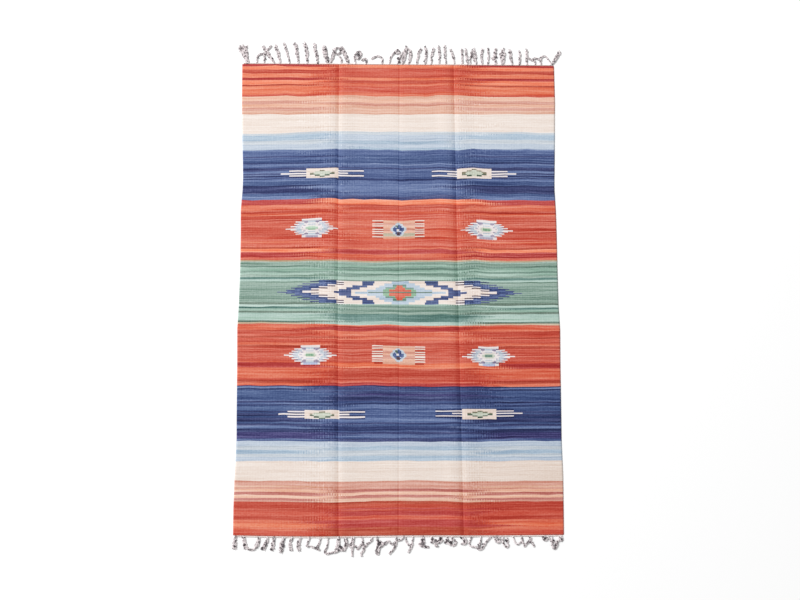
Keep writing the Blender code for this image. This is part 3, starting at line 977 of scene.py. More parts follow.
@dataclass
class WovenField:
    """The woven cloth: one closed sheet, 1.20 m by 1.80 m, laid in its three soft folds."""

    width: float = 1.20
    length: float = 1.80
    thickness: float = 0.003
    # Two columns of the mesh make one rib over a warp bundle
    ribs_between_folds: tuple[int, ...] = (39, 25, 24, 40)
    least_row: float = 3.2
    most_row: float = 6.2
    thin_line: float = 4.2
    rib_relief: float = 0.00007
    unevenness: float = 0.00004
    crease_depth: float = 0.0003
    # How far the selvedges and the ends are rounded down, in shares of the thickness
    selvedge_drop: float = 0.4
    end_drop: float = 0.3
    # The selvedges and the last wefts stand out past the measured edges of the dyed cloth
    selvedge: float = 1.5
    hem: float = 1.5
    waver: float = 0.9
    waver_grain: tuple[int, int] = (3, 9)
    streak_contrast: float = 1.3
    wash_start: float = 205
    wash_start_spread: float = 50
    wash_width: float = 150
    right_ramp: tuple[float, float] = (150, 300)
    # How far a rib shifts the mixing of the two charts, and the shade and light painted on its sides
    rib_shift: float = 0.2
    painted_rib_shade: float = 0.035
    mixed_painted_rib_shade: float = 0.11
    rib_range: tuple[float, float] = (-0.5, 1.9)
    # Strayed wefts: the palest, and the number of columns over which one changes
    palest_line: float = -0.7
    stray_grain: int = 30
    darkest: float = 0.001
    # The underside needs fewer rows and columns
    bottom_rows: int = 12
    bottom_columns: int = 6
    seed: int = 13
    rows: np.ndarray = field(init=False)
    columns: np.ndarray = field(init=False)

    def __post_init__(self) -> None:
        """Lay out the columns and rows of the mesh."""
        self.columns = self.column_lines()
        self.rows = self.row_lines()

    def column_lines(self) -> np.ndarray:
        """Return where the mesh's columns lie across the cloth, with one on each fold."""
        half = 500 * self.width
        marks = (-half, *(fold.middle for fold in FOLDS), half)
        lines = [np.array([-half])]
        for ribs, start, stop in zip(self.ribs_between_folds, marks, marks[1:]):
            lines.append(np.linspace(start, stop, 2 * ribs + 1)[1:])
        return np.concatenate(lines)

    def row_centres(self) -> np.ndarray:
        """Return where the middles of the rows of faces lie along the cloth."""
        return 0.5 * (self.rows[:-1] + self.rows[1:])

    def fold_columns(self) -> list[int]:
        """Return the numbers of the columns that lie on the folds."""
        return [int(np.argmin(np.abs(self.columns - fold.middle))) for fold in FOLDS]

    def row_lines(self) -> np.ndarray:
        """Return where the mesh's rows lie along the cloth, near end first.

        Returns:
            A row on every band edge, and on the motif and streak edges that leave it room.
        """
        firm = {500.0 * self.length, -500.0 * self.length}
        for band in BANDS:
            firm.update((band.starts, band.ends))
        wanted = []
        for motif in MOTIFS:
            for run in motif.runs():
                wanted.extend((motif.along + run.low, motif.along + run.high))
        for band in BANDS:
            for streak in (*band.sides, *band.middle):
                wanted.append(streak.down_to)
        lines = sorted(firm)
        for place in wanted:
            if min(abs(place - line) for line in lines) >= self.least_row:
                lines.append(place)
        lines.sort()
        filled = [lines[0]]
        for low, high in zip(lines, lines[1:]):
            steps = math.ceil((high - low) / self.most_row)
            filled.extend(low + (high - low) * step / steps for step in range(1, steps + 1))
        return np.array(filled)

    def places(self) -> tuple[np.ndarray, np.ndarray]:
        """Return where each crossing of a row and a column lies on the floor plan.

        Returns:
            Two arrays of metres, one row of numbers for each row of the mesh.
        """
        half_width, half_length = 500.0 * self.width, 500.0 * self.length
        across = np.empty((len(self.rows), len(self.columns)))
        along = np.empty_like(across)
        edge_v, left, right = (np.array(part, float) for part in zip(*SIDE_EDGES))
        end_u, far, near = (np.array(part, float) for part in zip(*END_EDGES))
        levels = [level for level, _ in reversed(WEFT_BOW)]
        for index, u in enumerate(self.columns):
            wander = [np.interp(u, BOW_STATIONS, bow) for _, bow in reversed(WEFT_BOW)]
            nominal = (-half_length, *levels, half_length)
            real = (
                np.interp(u, end_u, near) - self.hem,
                *(level + bow for level, bow in zip(levels, wander)),
                np.interp(u, end_u, far) + self.hem,
            )
            along[:, index] = np.interp(self.rows, nominal, real)
        rng = np.random.default_rng(self.seed + 2)
        inner_shape = (len(self.rows) - 2, len(self.columns))
        along[1:-1] += self.waver * smooth_noise(rng, inner_shape, self.waver_grain)
        for index, v in enumerate(self.rows):
            straight = [-half_width]
            real = [np.interp(v, edge_v, left) - self.selvedge]
            for fold in FOLDS:
                course = (fold.near, fold.middle, fold.far)
                middle = np.interp(v, (-half_length, 0, half_length), course)
                for side in (-FOLD_REACH, 0, FOLD_REACH):
                    straight.append(fold.middle + side)
                    real.append(middle + side)
            straight.append(half_width)
            real.append(np.interp(v, edge_v, right) + self.selvedge)
            across[index] = np.interp(self.columns, straight, real)
        return across * MM, along * MM

    def fold_heights(self) -> np.ndarray:
        """Return how high the folds lift the cloth off the floor at each column.

        Returns:
            One height in metres for each column.
        """
        return MM * np.max([fold.lift(self.columns - fold.middle) for fold in FOLDS], axis=0)

    def top_relief(self) -> np.ndarray:
        """Return the relief of the cloth's face above its mean thickness.

        Returns:
            Heights in metres for each crossing: ribs, creases, rounded selvedges and ends.
        """
        rng = np.random.default_rng(self.seed)
        shape = (len(self.rows), len(self.columns))
        parity = np.where(np.arange(shape[1]) % 2 == 0, -1.0, 1.0)
        relief = np.tile(parity * self.rib_relief, (shape[0], 1))
        relief += rng.normal(0.0, self.unevenness, shape)
        relief[:, self.fold_columns()] -= self.crease_depth
        relief[:, (0, -1)] -= self.selvedge_drop * self.thickness
        relief[(0, -1), :] -= self.end_drop * self.thickness
        return relief

    def zone_dyes(self, zone: str) -> np.ndarray:
        """Return the dye of every row, near the sides or in the middle.

        Args:
            zone: Which of a band's two charts, by its field name.

        Returns:
            Linear colours, one for each row of faces.
        """
        centres = self.row_centres()
        colours = np.empty((len(centres), 3))
        for band in BANDS:
            inside = np.flatnonzero((centres <= band.starts) & (centres >= band.ends))
            chart = getattr(band, zone)
            for index in inside:
                v = centres[index]
                streak = next(s for s in chart if s.down_to <= v or s is chart[-1])
                dye = streak.dye
                if streak.second and int(v // self.thin_line) % 2:
                    dye = streak.second
                colours[index] = linear(dye.value)
            mean = colours[inside].mean(axis=0)
            colours[inside] = mean * (colours[inside] / mean) ** self.streak_contrast
        return colours

    def row_depths(self, which: str) -> np.ndarray:
        """Return one of the bands' depths for every row of faces."""
        centres = self.row_centres()
        bands = (next(b for b in BANDS if b.ends <= v <= b.starts) for v in centres)
        return np.array([getattr(band, which) for band in bands])[:, None]

    def face_colours(self) -> np.ndarray:
        """Return the dyed colour of every face of the cloth's top.

        Returns:
            Linear colours, by row and column of faces.
        """
        rng = np.random.default_rng(self.seed + 1)
        centres_v = self.row_centres()
        centres_u = 0.5 * (self.columns[:-1] + self.columns[1:])
        shape = (len(centres_v), len(centres_u))
        starts = self.wash_start + self.wash_start_spread * smooth_noise(rng, (shape[0], 2), (2, 1))
        start = np.where(centres_u[None, :] < 0, starts[:, :1], starts[:, 1:])
        share = smooth_step((np.abs(centres_u)[None, :] - start) / self.wash_width)
        # 1 where the two charts mix evenly, 0 where one of them shows alone
        mixed = 4.0 * share * (1.0 - share)
        ribs = np.where(np.arange(shape[1]) % 2 == 0, -1.0, 1.0)[None, :]
        share = np.clip(share + self.rib_shift * ribs * mixed, 0.0, 1.0)[..., None]
        colours = self.zone_dyes("middle")[:, None] * (1.0 - share)
        colours = colours + self.zone_dyes("sides")[:, None] * share
        for motif in MOTIFS:
            across, along = centres_u - motif.across, centres_v - motif.along
            for run in motif.runs():
                in_rows = (along > run.low) & (along < run.high)
                if not in_rows.any():
                    in_rows[np.argmin(np.abs(along - 0.5 * (run.low + run.high)))] = True
                in_columns = (across > run.left) & (across < run.right)
                colours[np.ix_(in_rows, in_columns)] = linear(run.dye.value)
        # Each band darkens towards the right side by its second depth
        low, high = self.right_ramp
        rightward = smooth_step((centres_u - low) / (high - low))[None, :]
        depth = 1.0 + self.row_depths("depth")
        depth = depth + rightward * self.row_depths("right_darkening")
        depth = depth + mixed * self.row_depths("mixed_depth")
        # Painted shade and light on the ribs: every other column darker, the next lighter, by a random
        # strength
        rib_strength = rng.uniform(*self.rib_range, shape)
        depth += ribs * (self.painted_rib_shade + self.mixed_painted_rib_shade * mixed) * rib_strength
        stray = rng.normal(0.0, 1.0, (shape[0], 1)) + smooth_noise(rng, shape, (1, self.stray_grain))
        stray = np.maximum(stray, self.palest_line)
        depth += self.row_depths("line_depth") * (stray - stray.mean())
        # Painted shade left of each fold and painted light right of it
        depth += sum(fold.painted_fold_shade(centres_u - fold.middle) for fold in FOLDS)
        return np.maximum(colours, self.darkest) ** depth[..., None]

    def build(self, finish: WeftCotton) -> bpy.types.Object:
        """Build the cloth.

        Args:
            finish: The weft's finish.

        Returns:
            The cloth's object.
        """
        across, along = self.places()
        lift = self.fold_heights()[None, :]
        top = lift + self.thickness + self.top_relief()
        row_count, column_count = across.shape
        points = list(zip(across.ravel(), along.ravel(), top.ravel()))
        faces = []
        for row in range(row_count - 1):
            for column in range(column_count - 1):
                start = row * column_count + column
                faces.append((start, start + 1, start + column_count + 1, start + column_count))
        top_faces = len(faces)
        rows_below = stops((0, row_count - 1), self.bottom_rows)
        columns_below = stops((0, *self.fold_columns(), column_count - 1), self.bottom_columns)
        below = {}
        for row in rows_below:
            for column in columns_below:
                below[row, column] = len(points)
                points.append((across[row, column], along[row, column], float(lift[0, column])))
        for row, next_row in zip(rows_below, rows_below[1:]):
            for column, next_column in zip(columns_below, columns_below[1:]):
                faces.append(
                    (below[row, column], below[next_row, column],
                     below[next_row, next_column], below[row, next_column])
                )
        faces.extend(self.walls(rows_below, columns_below, below, column_count))
        mesh = bpy.data.meshes.new("woven_field")
        mesh.from_pydata(points, [], faces)
        self.dye(mesh, top_faces, rows_below, columns_below)
        mesh.shade_smooth()
        cloth = place_piece("woven_field", mesh, finish.material())
        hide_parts("rug_field")
        LOG.info("woven field: %d by %d crossings, %d faces in all", row_count, column_count, len(faces))
        return cloth

    def walls(
        self,
        rows_below: Sequence[int],
        columns_below: Sequence[int],
        below: dict[tuple[int, int], int],
        column_count: int,
    ) -> list[tuple[int, ...]]:
        """Return the thin faces that join the top to the coarser underside.

        Args:
            rows_below: The rows that the underside has.
            columns_below: The columns that the underside has.
            below: The underside's points, by row and column.
            column_count: Points in a row of the top.

        Returns:
            The faces of the four edges.
        """
        walls = []
        last_row = rows_below[-1]
        last_column = columns_below[-1]
        for start, stop in zip(columns_below, columns_below[1:]):
            near = [column for column in range(stop, start - 1, -1)]
            far = [last_row * column_count + column for column in range(start, stop + 1)]
            walls.append((*near, below[0, start], below[0, stop]))
            walls.append((*far, below[last_row, stop], below[last_row, start]))
        for start, stop in zip(rows_below, rows_below[1:]):
            left = [row * column_count for row in range(start, stop + 1)]
            right = [row * column_count + last_column for row in range(stop, start - 1, -1)]
            walls.append((*left, below[stop, 0], below[start, 0]))
            walls.append((*right, below[start, last_column], below[stop, last_column]))
        return walls

    def dye(
        self,
        mesh: bpy.types.Mesh,
        top_faces: int,
        rows_below: Sequence[int],
        columns_below: Sequence[int],
    ) -> None:
        """Write the dyes and the cloth's own measure onto the mesh.

        A flat weave shows the same wefts on both sides, so its edges and underside take the
        colours of the top.

        Args:
            mesh: The cloth's mesh.
            top_faces: How many of its first faces are the top.
            rows_below: The rows that the underside has.
            columns_below: The columns that the underside has.
        """
        colours = self.face_colours()
        above = np.indices((len(self.rows), len(self.columns))).reshape(2, -1)
        below = np.array(np.meshgrid(rows_below, columns_below, indexing="ij")).reshape(2, -1)
        row, column = np.concatenate((above, below), axis=1)
        row = np.minimum(row, colours.shape[0] - 1)
        column = np.minimum(column, colours.shape[1] - 1)
        loops = np.zeros(len(mesh.loops), dtype=int)
        mesh.loops.foreach_get("vertex_index", loops)
        attribute = mesh.color_attributes.new("dyed_yarn", "FLOAT_COLOR", "CORNER")
        values = np.ones((len(loops), 4))
        values[:, :3] = colours[row[loops], column[loops]]
        values[: 4 * top_faces, :3] = np.repeat(colours.reshape(-1, 3), 4, axis=0)
        attribute.data.foreach_set("color", values.ravel())
        place = np.zeros(3 * len(mesh.vertices))
        mesh.vertices.foreach_get("co", place)
        place = place.reshape(-1, 3)
        grid_u, grid_v = np.meshgrid(self.columns * MM, self.rows * MM)
        measure = place[:, :2].copy()
        measure[: grid_u.size, 0] = grid_u.ravel()
        measure[: grid_v.size, 1] = grid_v.ravel()
        layer = mesh.uv_layers.new(name="cloth")
        layer.data.foreach_set("uv", measure[loops].ravel())


def stops(firm: Sequence[int], step: int) -> list[int]:
    """Return the firm places of a count, and others between them at most a step apart.

    Args:
        firm: Places that are kept, in order.
        step: The largest distance between two places.

    Returns:
        The places, in order.
    """
    places = [firm[0]]
    for low, high in zip(firm, firm[1:]):
        parts = math.ceil((high - low) / step)
        places.extend(low + round((high - low) * part / parts) for part in range(1, parts + 1))
    return places


class Tassel(NamedTuple):
    """A fringe lock, in millimetres: its root, lean, reach, sideways bow and width.

    The last value is its tip's curl, in degrees.
    """

    root: float
    lean: float
    reach: float
    bow: float
    width: float
    curl: float


FAR_TASSELS = tuple(
    Tassel(*sizes) for sizes in (
        (-588, -35, 72, 4, 11, 10), (-586, -25, 76, 0, 11, 5), (-584, -14, 74, -4, 11, -10),
        (-482, -46, 74, 0, 8, 20), (-461, -20, 80, 2, 8, 60), (-423, -23, 86, 0, 7, 20),
        (-389, -11, 87, -2, 8, 100), (-356, -8, 88, 2, 8, 110), (-314, -21, 86, 3, 8, -80),
        (-276, -15, 74, -2, 11, 30), (-269, 22, 66, 2, 8, 60), (-194, -32, 76, 4, 7, 60),
        (16, 12, 74, 2, 6, -50), (38, 6, 60, 3, 6, 40), (70, 15, 68, -3, 6, -60),
        (102, 4, 76, 2, 6, 60), (125, 10, 70, -2, 6, -40), (155, 0, 76, 3, 6, 60),
        (183, -3, 78, -2, 6, 20), (215, -14, 68, 3, 6, 70), (245, -3, 68, 2, 6, -50),
        (268, -6, 68, -2, 6, 50), (300, -9, 68, 2, 6, 60), (324, -1, 68, -2, 6, -60),
        (345, 2, 68, 2, 6, 40), (374, 2, 68, -2, 6, -60), (403, 3, 68, 2, 10, 90),
        (441, -7, 66, -3, 7, 60), (468, 0, 60, 2, 6, -60), (497, 3, 66, -2, 6, 50),
        (590, 34, 60, 4, 8, -60),
    )
)

NEAR_TASSELS = tuple(
    Tassel(*sizes) for sizes in (
        (-592, -3, 47, -2, 9, 40), (-562, 12, 46, -4, 9, 80), (-508, -14, 43, 4, 9, -90),
        (-476, -18, 47, 3, 9, -60), (-451, -8, 50, -2, 9, -90), (-416, -12, 56, -3, 10, 30),
        (-385, -2, 50, -8, 7, 30), (-354, -4, 50, -8, 9, 40), (-220, -8, 52, 3, 7, 60),
        (-193, -10, 50, 8, 8, -60), (360, -5, 23, 0, 10, 60), (588, 5, 21, 0, 8, 60),
    )
)

# Locks that fold back, loop or tangle, in millimetres across the rug and out from the cloth, read
# by eye off the photo and turned into millimetres by a script
FAR_CURLS = (
    ((-551, 2), (-551, 25), (-543, 37), (-527, 40), (-512, 44), (-508, 33)),
    ((-484, 2), (-500, 21), (-516, 44), (-531, 71)),
    ((-523, 2), (-523, 21), (-519, 44), (-496, 75)),
    ((-197, 0), (-208, 25), (-216, 44), (-228, 60), (-240, 67), (-251, 52), (-240, 40), (-224, 48)),
    ((-224, 0), (-224, 21), (-232, 33)),
    ((-168, 0), (-173, 29), (-166, 44), (-154, 52), (-146, 44), (-150, 33), (-158, 21), (-170, 29)),
    ((-127, 0), (-127, 21), (-138, 21), (-142, 13)),
    ((-65, 0), (-65, 25), (-80, 33), (-96, 29), (-107, 21)),
    ((-37, 0), (-33, 25), (-22, 44), (-10, 56), (-2, 60), (2, 48), (-14, 44)),
    ((-6, 0), (2, 25), (13, 44), (25, 60), (37, 64), (48, 44), (44, 25), (37, 17)),
    ((17, 0), (13, 25), (21, 37), (33, 52)),
    ((593, 2), (585, 17), (569, 37), (554, 33), (546, 25), (530, 29), (519, 21), (503, 29)),
    ((554, 2), (550, 17), (554, 29)),
    ((530, 2), (526, 21), (519, 25)),
    ((279, 0), (276, 22), (281, 37), (289, 44), (297, 56), (285, 56), (281, 44), (289, 29),
     (297, 13), (301, 2)),
    ((398, 2), (398, 25), (394, 44), (406, 56), (410, 37), (402, 21)),
    ((379, 2), (375, 21), (363, 25), (371, 40), (379, 52)),
)

NEAR_CURLS = (
    ((-568, 0), (-561, 33), (-550, 44), (-532, 48), (-518, 40), (-510, 17), (-507, 2)),
    ((-322, 0), (-331, 22), (-332, 33), (-314, 35), (-298, 42)),
    ((-283, 0), (-289, 22), (-296, 40), (-286, 47)),
    ((-256, 0), (-260, 33), (-267, 48), (-264, 60), (-245, 56), (-224, 52), (-220, 37), (-224, 13)),
    ((-216, 0), (-216, 40), (-205, 48), (-195, 44), (-191, 25), (-195, 6)),
    ((-169, 0), (-173, 25), (-180, 29), (-173, 37), (-158, 33), (-151, 40)),
    ((-162, 0), (-166, 29), (-169, 52), (-169, 71)),
    ((-97, 2), (-97, 13), (-107, 21), (-115, 29), (-126, 37), (-136, 29), (-151, 48)),
    ((-133, 0), (-129, 33), (-126, 48), (-136, 60), (-133, 71)),
    ((-78, 0), (-78, 33), (-82, 60), (-75, 64), (-71, 44), (-60, 33), (-46, 21)),
    ((20, 0), (9, 13), (-6, 17), (-24, 29), (-38, 17), (-53, 29), (-68, 17)),
    ((-9, 0), (-9, 25), (-13, 37), (-24, 52), (-35, 64)),
    ((52, 0), (49, 25), (45, 40), (34, 60)),
    ((23, 0), (27, 17), (38, 33), (52, 29)),
    ((85, 2), (81, 25), (74, 29), (85, 37), (110, 40)),
    ((89, 0), (92, 21), (85, 33), (78, 21)),
    ((118, 2), (121, 25), (132, 13), (143, 25), (161, 13)),
    ((154, 2), (143, 17), (132, 33), (143, 37)),
    ((176, 2), (179, 21), (187, 33), (201, 33), (208, 21), (197, 10)),
    ((194, 2), (190, 25), (176, 25), (172, 13)),
    ((230, 2), (237, 21), (227, 29), (245, 25), (241, 6)),
    ((266, 0), (256, 25), (263, 37), (281, 40), (292, 48), (303, 44), (310, 33), (321, 17), (335, 2)),
    ((299, 0), (295, 25), (288, 48)),
    ((346, 2), (354, 21), (368, 21), (364, 2)),
    ((379, 2), (379, 25), (390, 40), (397, 33), (393, 6)),
    ((415, 2), (423, 25), (437, 29), (448, 17), (444, 2)),
    ((444, 0), (452, 25), (455, 40), (462, 29), (473, 21), (481, 6)),
    ((473, 2), (481, 17), (484, 25), (492, 40)),
    ((521, 2), (528, 17), (539, 13), (535, 2), (524, 10)),
    ((542, 2), (553, 21), (568, 25), (582, 17), (586, 2)),
    ((556, 0), (557, 33), (564, 48), (575, 33), (579, 17)),
)

# Knots and hard tangles, in millimetres: where across the rug, how far out and their half width.
# Most lie at dark spots that a script found in the photo
FAR_KNOTS = (
    (-606, 58, 4), (-547, 25, 3), (-518, 20, 3), (-492, 21, 4), (-277, 10, 8), (-280, 25, 8),
    (-285, 57, 6), (-251, 52, 6), (-226, 54, 4), (-205, 22, 5), (-170, 38, 3), (-156, 36, 7),
    (-127, 13, 4), (-1, 24, 7), (1, 9, 6), (78, 52, 3), (99, 13, 3), (283, 40, 3), (379, 33, 4),
    (404, 38, 5), (429, 52, 3), (594, 5, 4),
)
NEAR_KNOTS = (
    (-596, 35, 5), (-560, 31, 6), (-494, 42, 7), (-484, 30, 7), (-462, 45, 5), (-421, 31, 8),
    (-333, 32, 4), (-296, 38, 6), (-219, 46, 7), (-210, 38, 6), (-195, 15, 3), (-192, 30, 4),
    (-174, 32, 3), (-127, 31, 3), (-127, 44, 5), (-115, 25, 3), (-101, 14, 3), (-81, 53, 5),
    (-72, 26, 8), (-76, 16, 5), (-78, 40, 5), (-51, 26, 6), (3, 13, 3), (37, 32, 3), (88, 19, 5),
    (85, 29, 8), (98, 38, 6), (122, 11, 6), (119, 23, 4), (136, 18, 5), (152, 12, 7), (147, 24, 4),
    (168, 24, 4), (176, 15, 6), (189, 24, 6), (194, 9, 4), (204, 18, 4), (227, 6, 4), (238, 19, 5),
    (289, 31, 3), (290, 44, 4), (305, 29, 3), (361, 12, 3), (390, 17, 5), (479, 23, 6), (531, 11, 7),
    (527, 5, 4), (563, 19, 4), (570, 36, 6), (591, 15, 4),
)


class End(Enum):
    """The two ends of the rug: the column of END_EDGES, and the way out along the rug."""

    FAR = (1, 1.0)
    NEAR = (2, -1.0)


@dataclass
class Fringe:
    """The warps at one end: a twined heading and the plied locks that hang free of it."""

    end: End
    tassels: tuple[Tassel, ...]
    curls: tuple[tuple[tuple[float, float], ...], ...]
    knots: tuple[tuple[float, float, float], ...]
    heading_radius: float = 0.0013
    heading_plies: int = 3
    heading_out: float = 0.0042
    heading_gap: float = 0.0034
    heading_pitch: float = 0.009
    # How far the heading stops short of the side edges, and its points' spacing, in millimetres
    heading_inset: float = 3.0
    heading_step: float = 3.0
    ply_radius: float = 0.00095
    ply_pitch: float = 0.009
    # How far a ply lies off its cord's middle in shares of its radius, and its thinner tip
    ply_offset: float = 0.95
    tip_length: float = 0.004
    tip_share: float = 0.55
    # The yarns of a lock wind about its line, closer at its root, and lift over each other
    bundle_pitch: float = 0.030
    bundle_spread: float = 0.66
    root_spread: float = 0.45
    yarn_lift: float = 1.6
    # What chance does to a tassel's yarns: their length, curl, spread, start and winding
    lengths: tuple[float, float] = (0.82, 1.02)
    tip_curls: tuple[float, float] = (0.1, 0.5)
    spreads: tuple[float, float] = (0.7, 1.3)
    turn_starts: tuple[float, float] = (-0.5, 0.5)
    windings: tuple[float, float] = (0.7, 1.5)
    # Where along a tassel its tip starts to curl, how much longer the curl is, and their points
    curl_from: float = 0.74
    curl_stretch: float = 1.15
    straight_points: int = 24
    curl_points: int = 12
    curl_yarns: int = 6
    curl_spread: float = 0.0030
    curl_windings: tuple[float, float] = (0.6, 1.2)
    # A knot's turns, its rise, its middle's reach beside its edge's, and how oval it is
    knot_turns: float = 2.6
    knot_height: float = 0.0026
    knot_core: float = 0.3
    knot_ovals: tuple[float, float] = (0.55, 0.9)
    knot_points: int = 31
    knot_step: float = 0.00208
    sides: int = 4
    step: float = 0.0026
    seed: int = 5
    points: list[tuple[float, float, float]] = field(default_factory=list)
    faces: list[tuple[int, ...]] = field(default_factory=list)

    def end_line(self, across: float) -> float:
        """Return how far along the rug the cloth ends, in metres."""
        column, _ = self.end.value
        places = [edge[0] for edge in END_EDGES]
        return float(np.interp(across / MM, places, [edge[column] for edge in END_EDGES])) * MM

    def add_tube(self, path: Sequence[Vector], radii: Sequence[float]) -> None:
        """Add a closed tube along a path.

        Args:
            path: Its centreline.
            radii: Its radius at each point.
        """
        first = len(self.points)
        up = Vector((0.0, 0.0, 1.0))
        for index, point in enumerate(path):
            before = path[max(0, index - 1)]
            after = path[min(len(path) - 1, index + 1)]
            along = (after - before).normalized()
            side = along.cross(up)
            side = side.normalized() if side.length > 1e-6 else Vector((1.0, 0.0, 0.0))
            lift = side.cross(along)
            for corner in range(self.sides):
                angle = math.tau * (corner + 0.5) / self.sides
                spot = point + radii[index] * (math.cos(angle) * side + math.sin(angle) * lift)
                self.points.append(tuple(spot))
        for ring in range(len(path) - 1):
            for corner in range(self.sides):
                after = (corner + 1) % self.sides
                low = first + ring * self.sides
                high = low + self.sides
                self.faces.append((low + corner, low + after, high + after, high + corner))
        self.faces.append(tuple(first + corner for corner in range(self.sides))[::-1])
        last = first + (len(path) - 1) * self.sides
        self.faces.append(tuple(last + corner for corner in range(self.sides)))

    def add_plied(
        self,
        path: Sequence[Vector],
        radius: float,
        pitch: float,
        phase: float,
        plies: int = 2,
    ) -> None:
        """Add a cord of plies twisted about a path.

        Args:
            path: The cord's centreline.
            radius: The radius of one ply.
            pitch: The length of one full turn.
            phase: Where in its turn the cord starts, in radians.
            plies: How many plies it has.
        """
        up = Vector((0.0, 0.0, 1.0))
        run = [0.0]
        for before, after in zip(path, path[1:]):
            run.append(run[-1] + (after - before).length)
        for ply in range(plies):
            line = []
            radii = []
            for index, point in enumerate(path):
                along = (path[min(len(path) - 1, index + 1)] - path[max(0, index - 1)]).normalized()
                side = along.cross(up).normalized()
                turn = phase + math.tau * (run[index] / pitch + ply / plies)
                off = math.cos(turn) * side + math.sin(turn) * up
                line.append(point + radius * self.ply_offset * off)
                left = min(1.0, (run[-1] - run[index]) / self.tip_length)
                radii.append(radius * (self.tip_share + (1.0 - self.tip_share) * left))
            self.add_tube(line, radii)

    def tassel_line(self, tassel: Tassel, stretch: float, curl: float) -> list[Vector]:
        """Return the centreline of one of a tassel's yarns, with its tip curled.

        Args:
            tassel: The tassel's sizes.
            stretch: How long this yarn is beside the tassel.
            curl: How far its tip turns, in degrees.

        Returns:
            Points from its root to its tip, a step apart.
        """
        _, outward = self.end.value
        base = self.end_line(tassel.root * MM) + outward * self.heading_gap
        line = []
        for index in range(self.straight_points + 1):
            share = index / self.straight_points * self.curl_from * stretch
            across = tassel.root + tassel.lean * share + tassel.bow * math.sin(math.pi * share)
            line.append(Vector((across * MM, base + outward * tassel.reach * share * MM, 0.0)))
        heading = (line[-1] - line[-2]).normalized()
        rest = tassel.reach * MM * (1.0 - self.curl_from) * self.curl_stretch
        turn = Matrix.Rotation(math.radians(curl) / self.curl_points * outward, 3, "Z")
        for _ in range(self.curl_points):
            heading = turn @ heading
            line.append(line[-1] + heading * rest / self.curl_points)
        return respaced(line, self.step)

    def add_yarn(
        self,
        line: Sequence[Vector],
        spread: float,
        turn: float,
        pitch: float,
        phase: float,
    ) -> None:
        """Add one plied yarn that winds loosely about a line on the floor.

        Args:
            line: The line.
            spread: How far to each side it winds.
            turn: Where in its winding it starts, in radians.
            pitch: The length of one winding.
            phase: Where in its own twist it starts, in radians.
        """
        path = []
        for index, point in enumerate(line):
            share = index / (len(line) - 1)
            along = (line[min(len(line) - 1, index + 1)] - line[max(0, index - 1)]).normalized()
            side = Vector((along.y, -along.x, 0.0))
            angle = turn + math.tau * index * self.step / pitch
            opened = spread * (self.root_spread + (1.0 - self.root_spread) * min(1.0, 2.0 * share))
            height = self.ply_radius * (2.0 + self.yarn_lift * (1.0 + math.sin(angle)))
            path.append(point + side * opened * math.cos(angle) + Vector((0.0, 0.0, height)))
        self.add_plied(path, self.ply_radius, self.ply_pitch, phase)

    def add_tassel(self, tassel: Tassel, rng: random.Random) -> None:
        """Add one tassel: thin plied yarns that wander about each other, more of them if it is wide.

        Args:
            tassel: Its sizes.
            rng: The seeded source of chance.
        """
        yarns = round(tassel.width)
        for yarn in range(yarns):
            stretch = rng.uniform(*self.lengths)
            line = self.tassel_line(tassel, stretch, tassel.curl * rng.uniform(*self.tip_curls))
            spread = self.bundle_spread * tassel.width * MM * rng.uniform(*self.spreads)
            turn = math.tau * yarn / yarns + rng.uniform(*self.turn_starts)
            pitch = self.bundle_pitch * rng.uniform(*self.windings)
            self.add_yarn(line, spread, turn, pitch, rng.uniform(0, math.tau))

    def add_curl(self, curl: Sequence[tuple[float, float]], rng: random.Random) -> None:
        """Add one charted curl of a few yarns.

        Args:
            curl: Its points, across the rug and out from the cloth, in millimetres.
            rng: The seeded source of chance.
        """
        _, outward = self.end.value
        points = []
        for across, out in curl:
            base = self.end_line(across * MM) + outward * self.heading_gap
            points.append(Vector((across * MM, base + outward * out * MM, 0.0)))
        line = respaced(rounded(points), self.step)
        turn = rng.uniform(0, math.tau)
        for yarn in range(self.curl_yarns):
            pitch = self.bundle_pitch * rng.uniform(*self.curl_windings)
            start = turn + math.tau * yarn / self.curl_yarns
            self.add_yarn(line, self.curl_spread, start, pitch, rng.uniform(0, math.tau))

    def add_knot(self, knot: tuple[float, float, float], rng: random.Random) -> None:
        """Add one knot: a yarn wound hard about itself, flat on the floor.

        Args:
            knot: Its place across the rug, its way out and its half width, in millimetres.
            rng: The seeded source of chance.
        """
        _, outward = self.end.value
        across, out, size = knot
        away = outward * (self.heading_gap + out * MM)
        centre = Vector((across * MM, self.end_line(across * MM) + away, 0.0))
        start = rng.uniform(0, math.tau)
        turned = Matrix.Rotation(rng.uniform(0, math.pi), 3, "Z")
        oval = rng.uniform(*self.knot_ovals)
        line = []
        for index in range(self.knot_points):
            share = index / (self.knot_points - 1)
            angle = start + math.tau * self.knot_turns * share
            reach = size * MM * (1.0 - (1.0 - self.knot_core) * share)
            height = 3.0 * self.ply_radius + self.knot_height * math.sqrt(share)
            spot = Vector((reach * math.cos(angle), oval * reach * math.sin(angle), height))
            line.append(centre + turned @ spot)
        self.add_plied(respaced(line, self.knot_step), self.ply_radius, self.ply_pitch, start)

    def add_heading(self) -> None:
        """Add the twined cord that locks the last weft in."""
        _, outward = self.end.value
        _, left, right = SIDE_EDGES[-1] if self.end is End.FAR else SIDE_EDGES[0]
        first, last = left + self.heading_inset, right - self.heading_inset
        count = int((last - first) / self.heading_step)
        line = []
        for index in range(count + 1):
            across = (first + (last - first) * index / count) * MM
            height = 2.0 * self.heading_radius + fold_lift(across, self.end)
            line.append(Vector((across, self.end_line(across) + outward * self.heading_out, height)))
        self.add_plied(line, self.heading_radius, self.heading_pitch, 0.0, self.heading_plies)

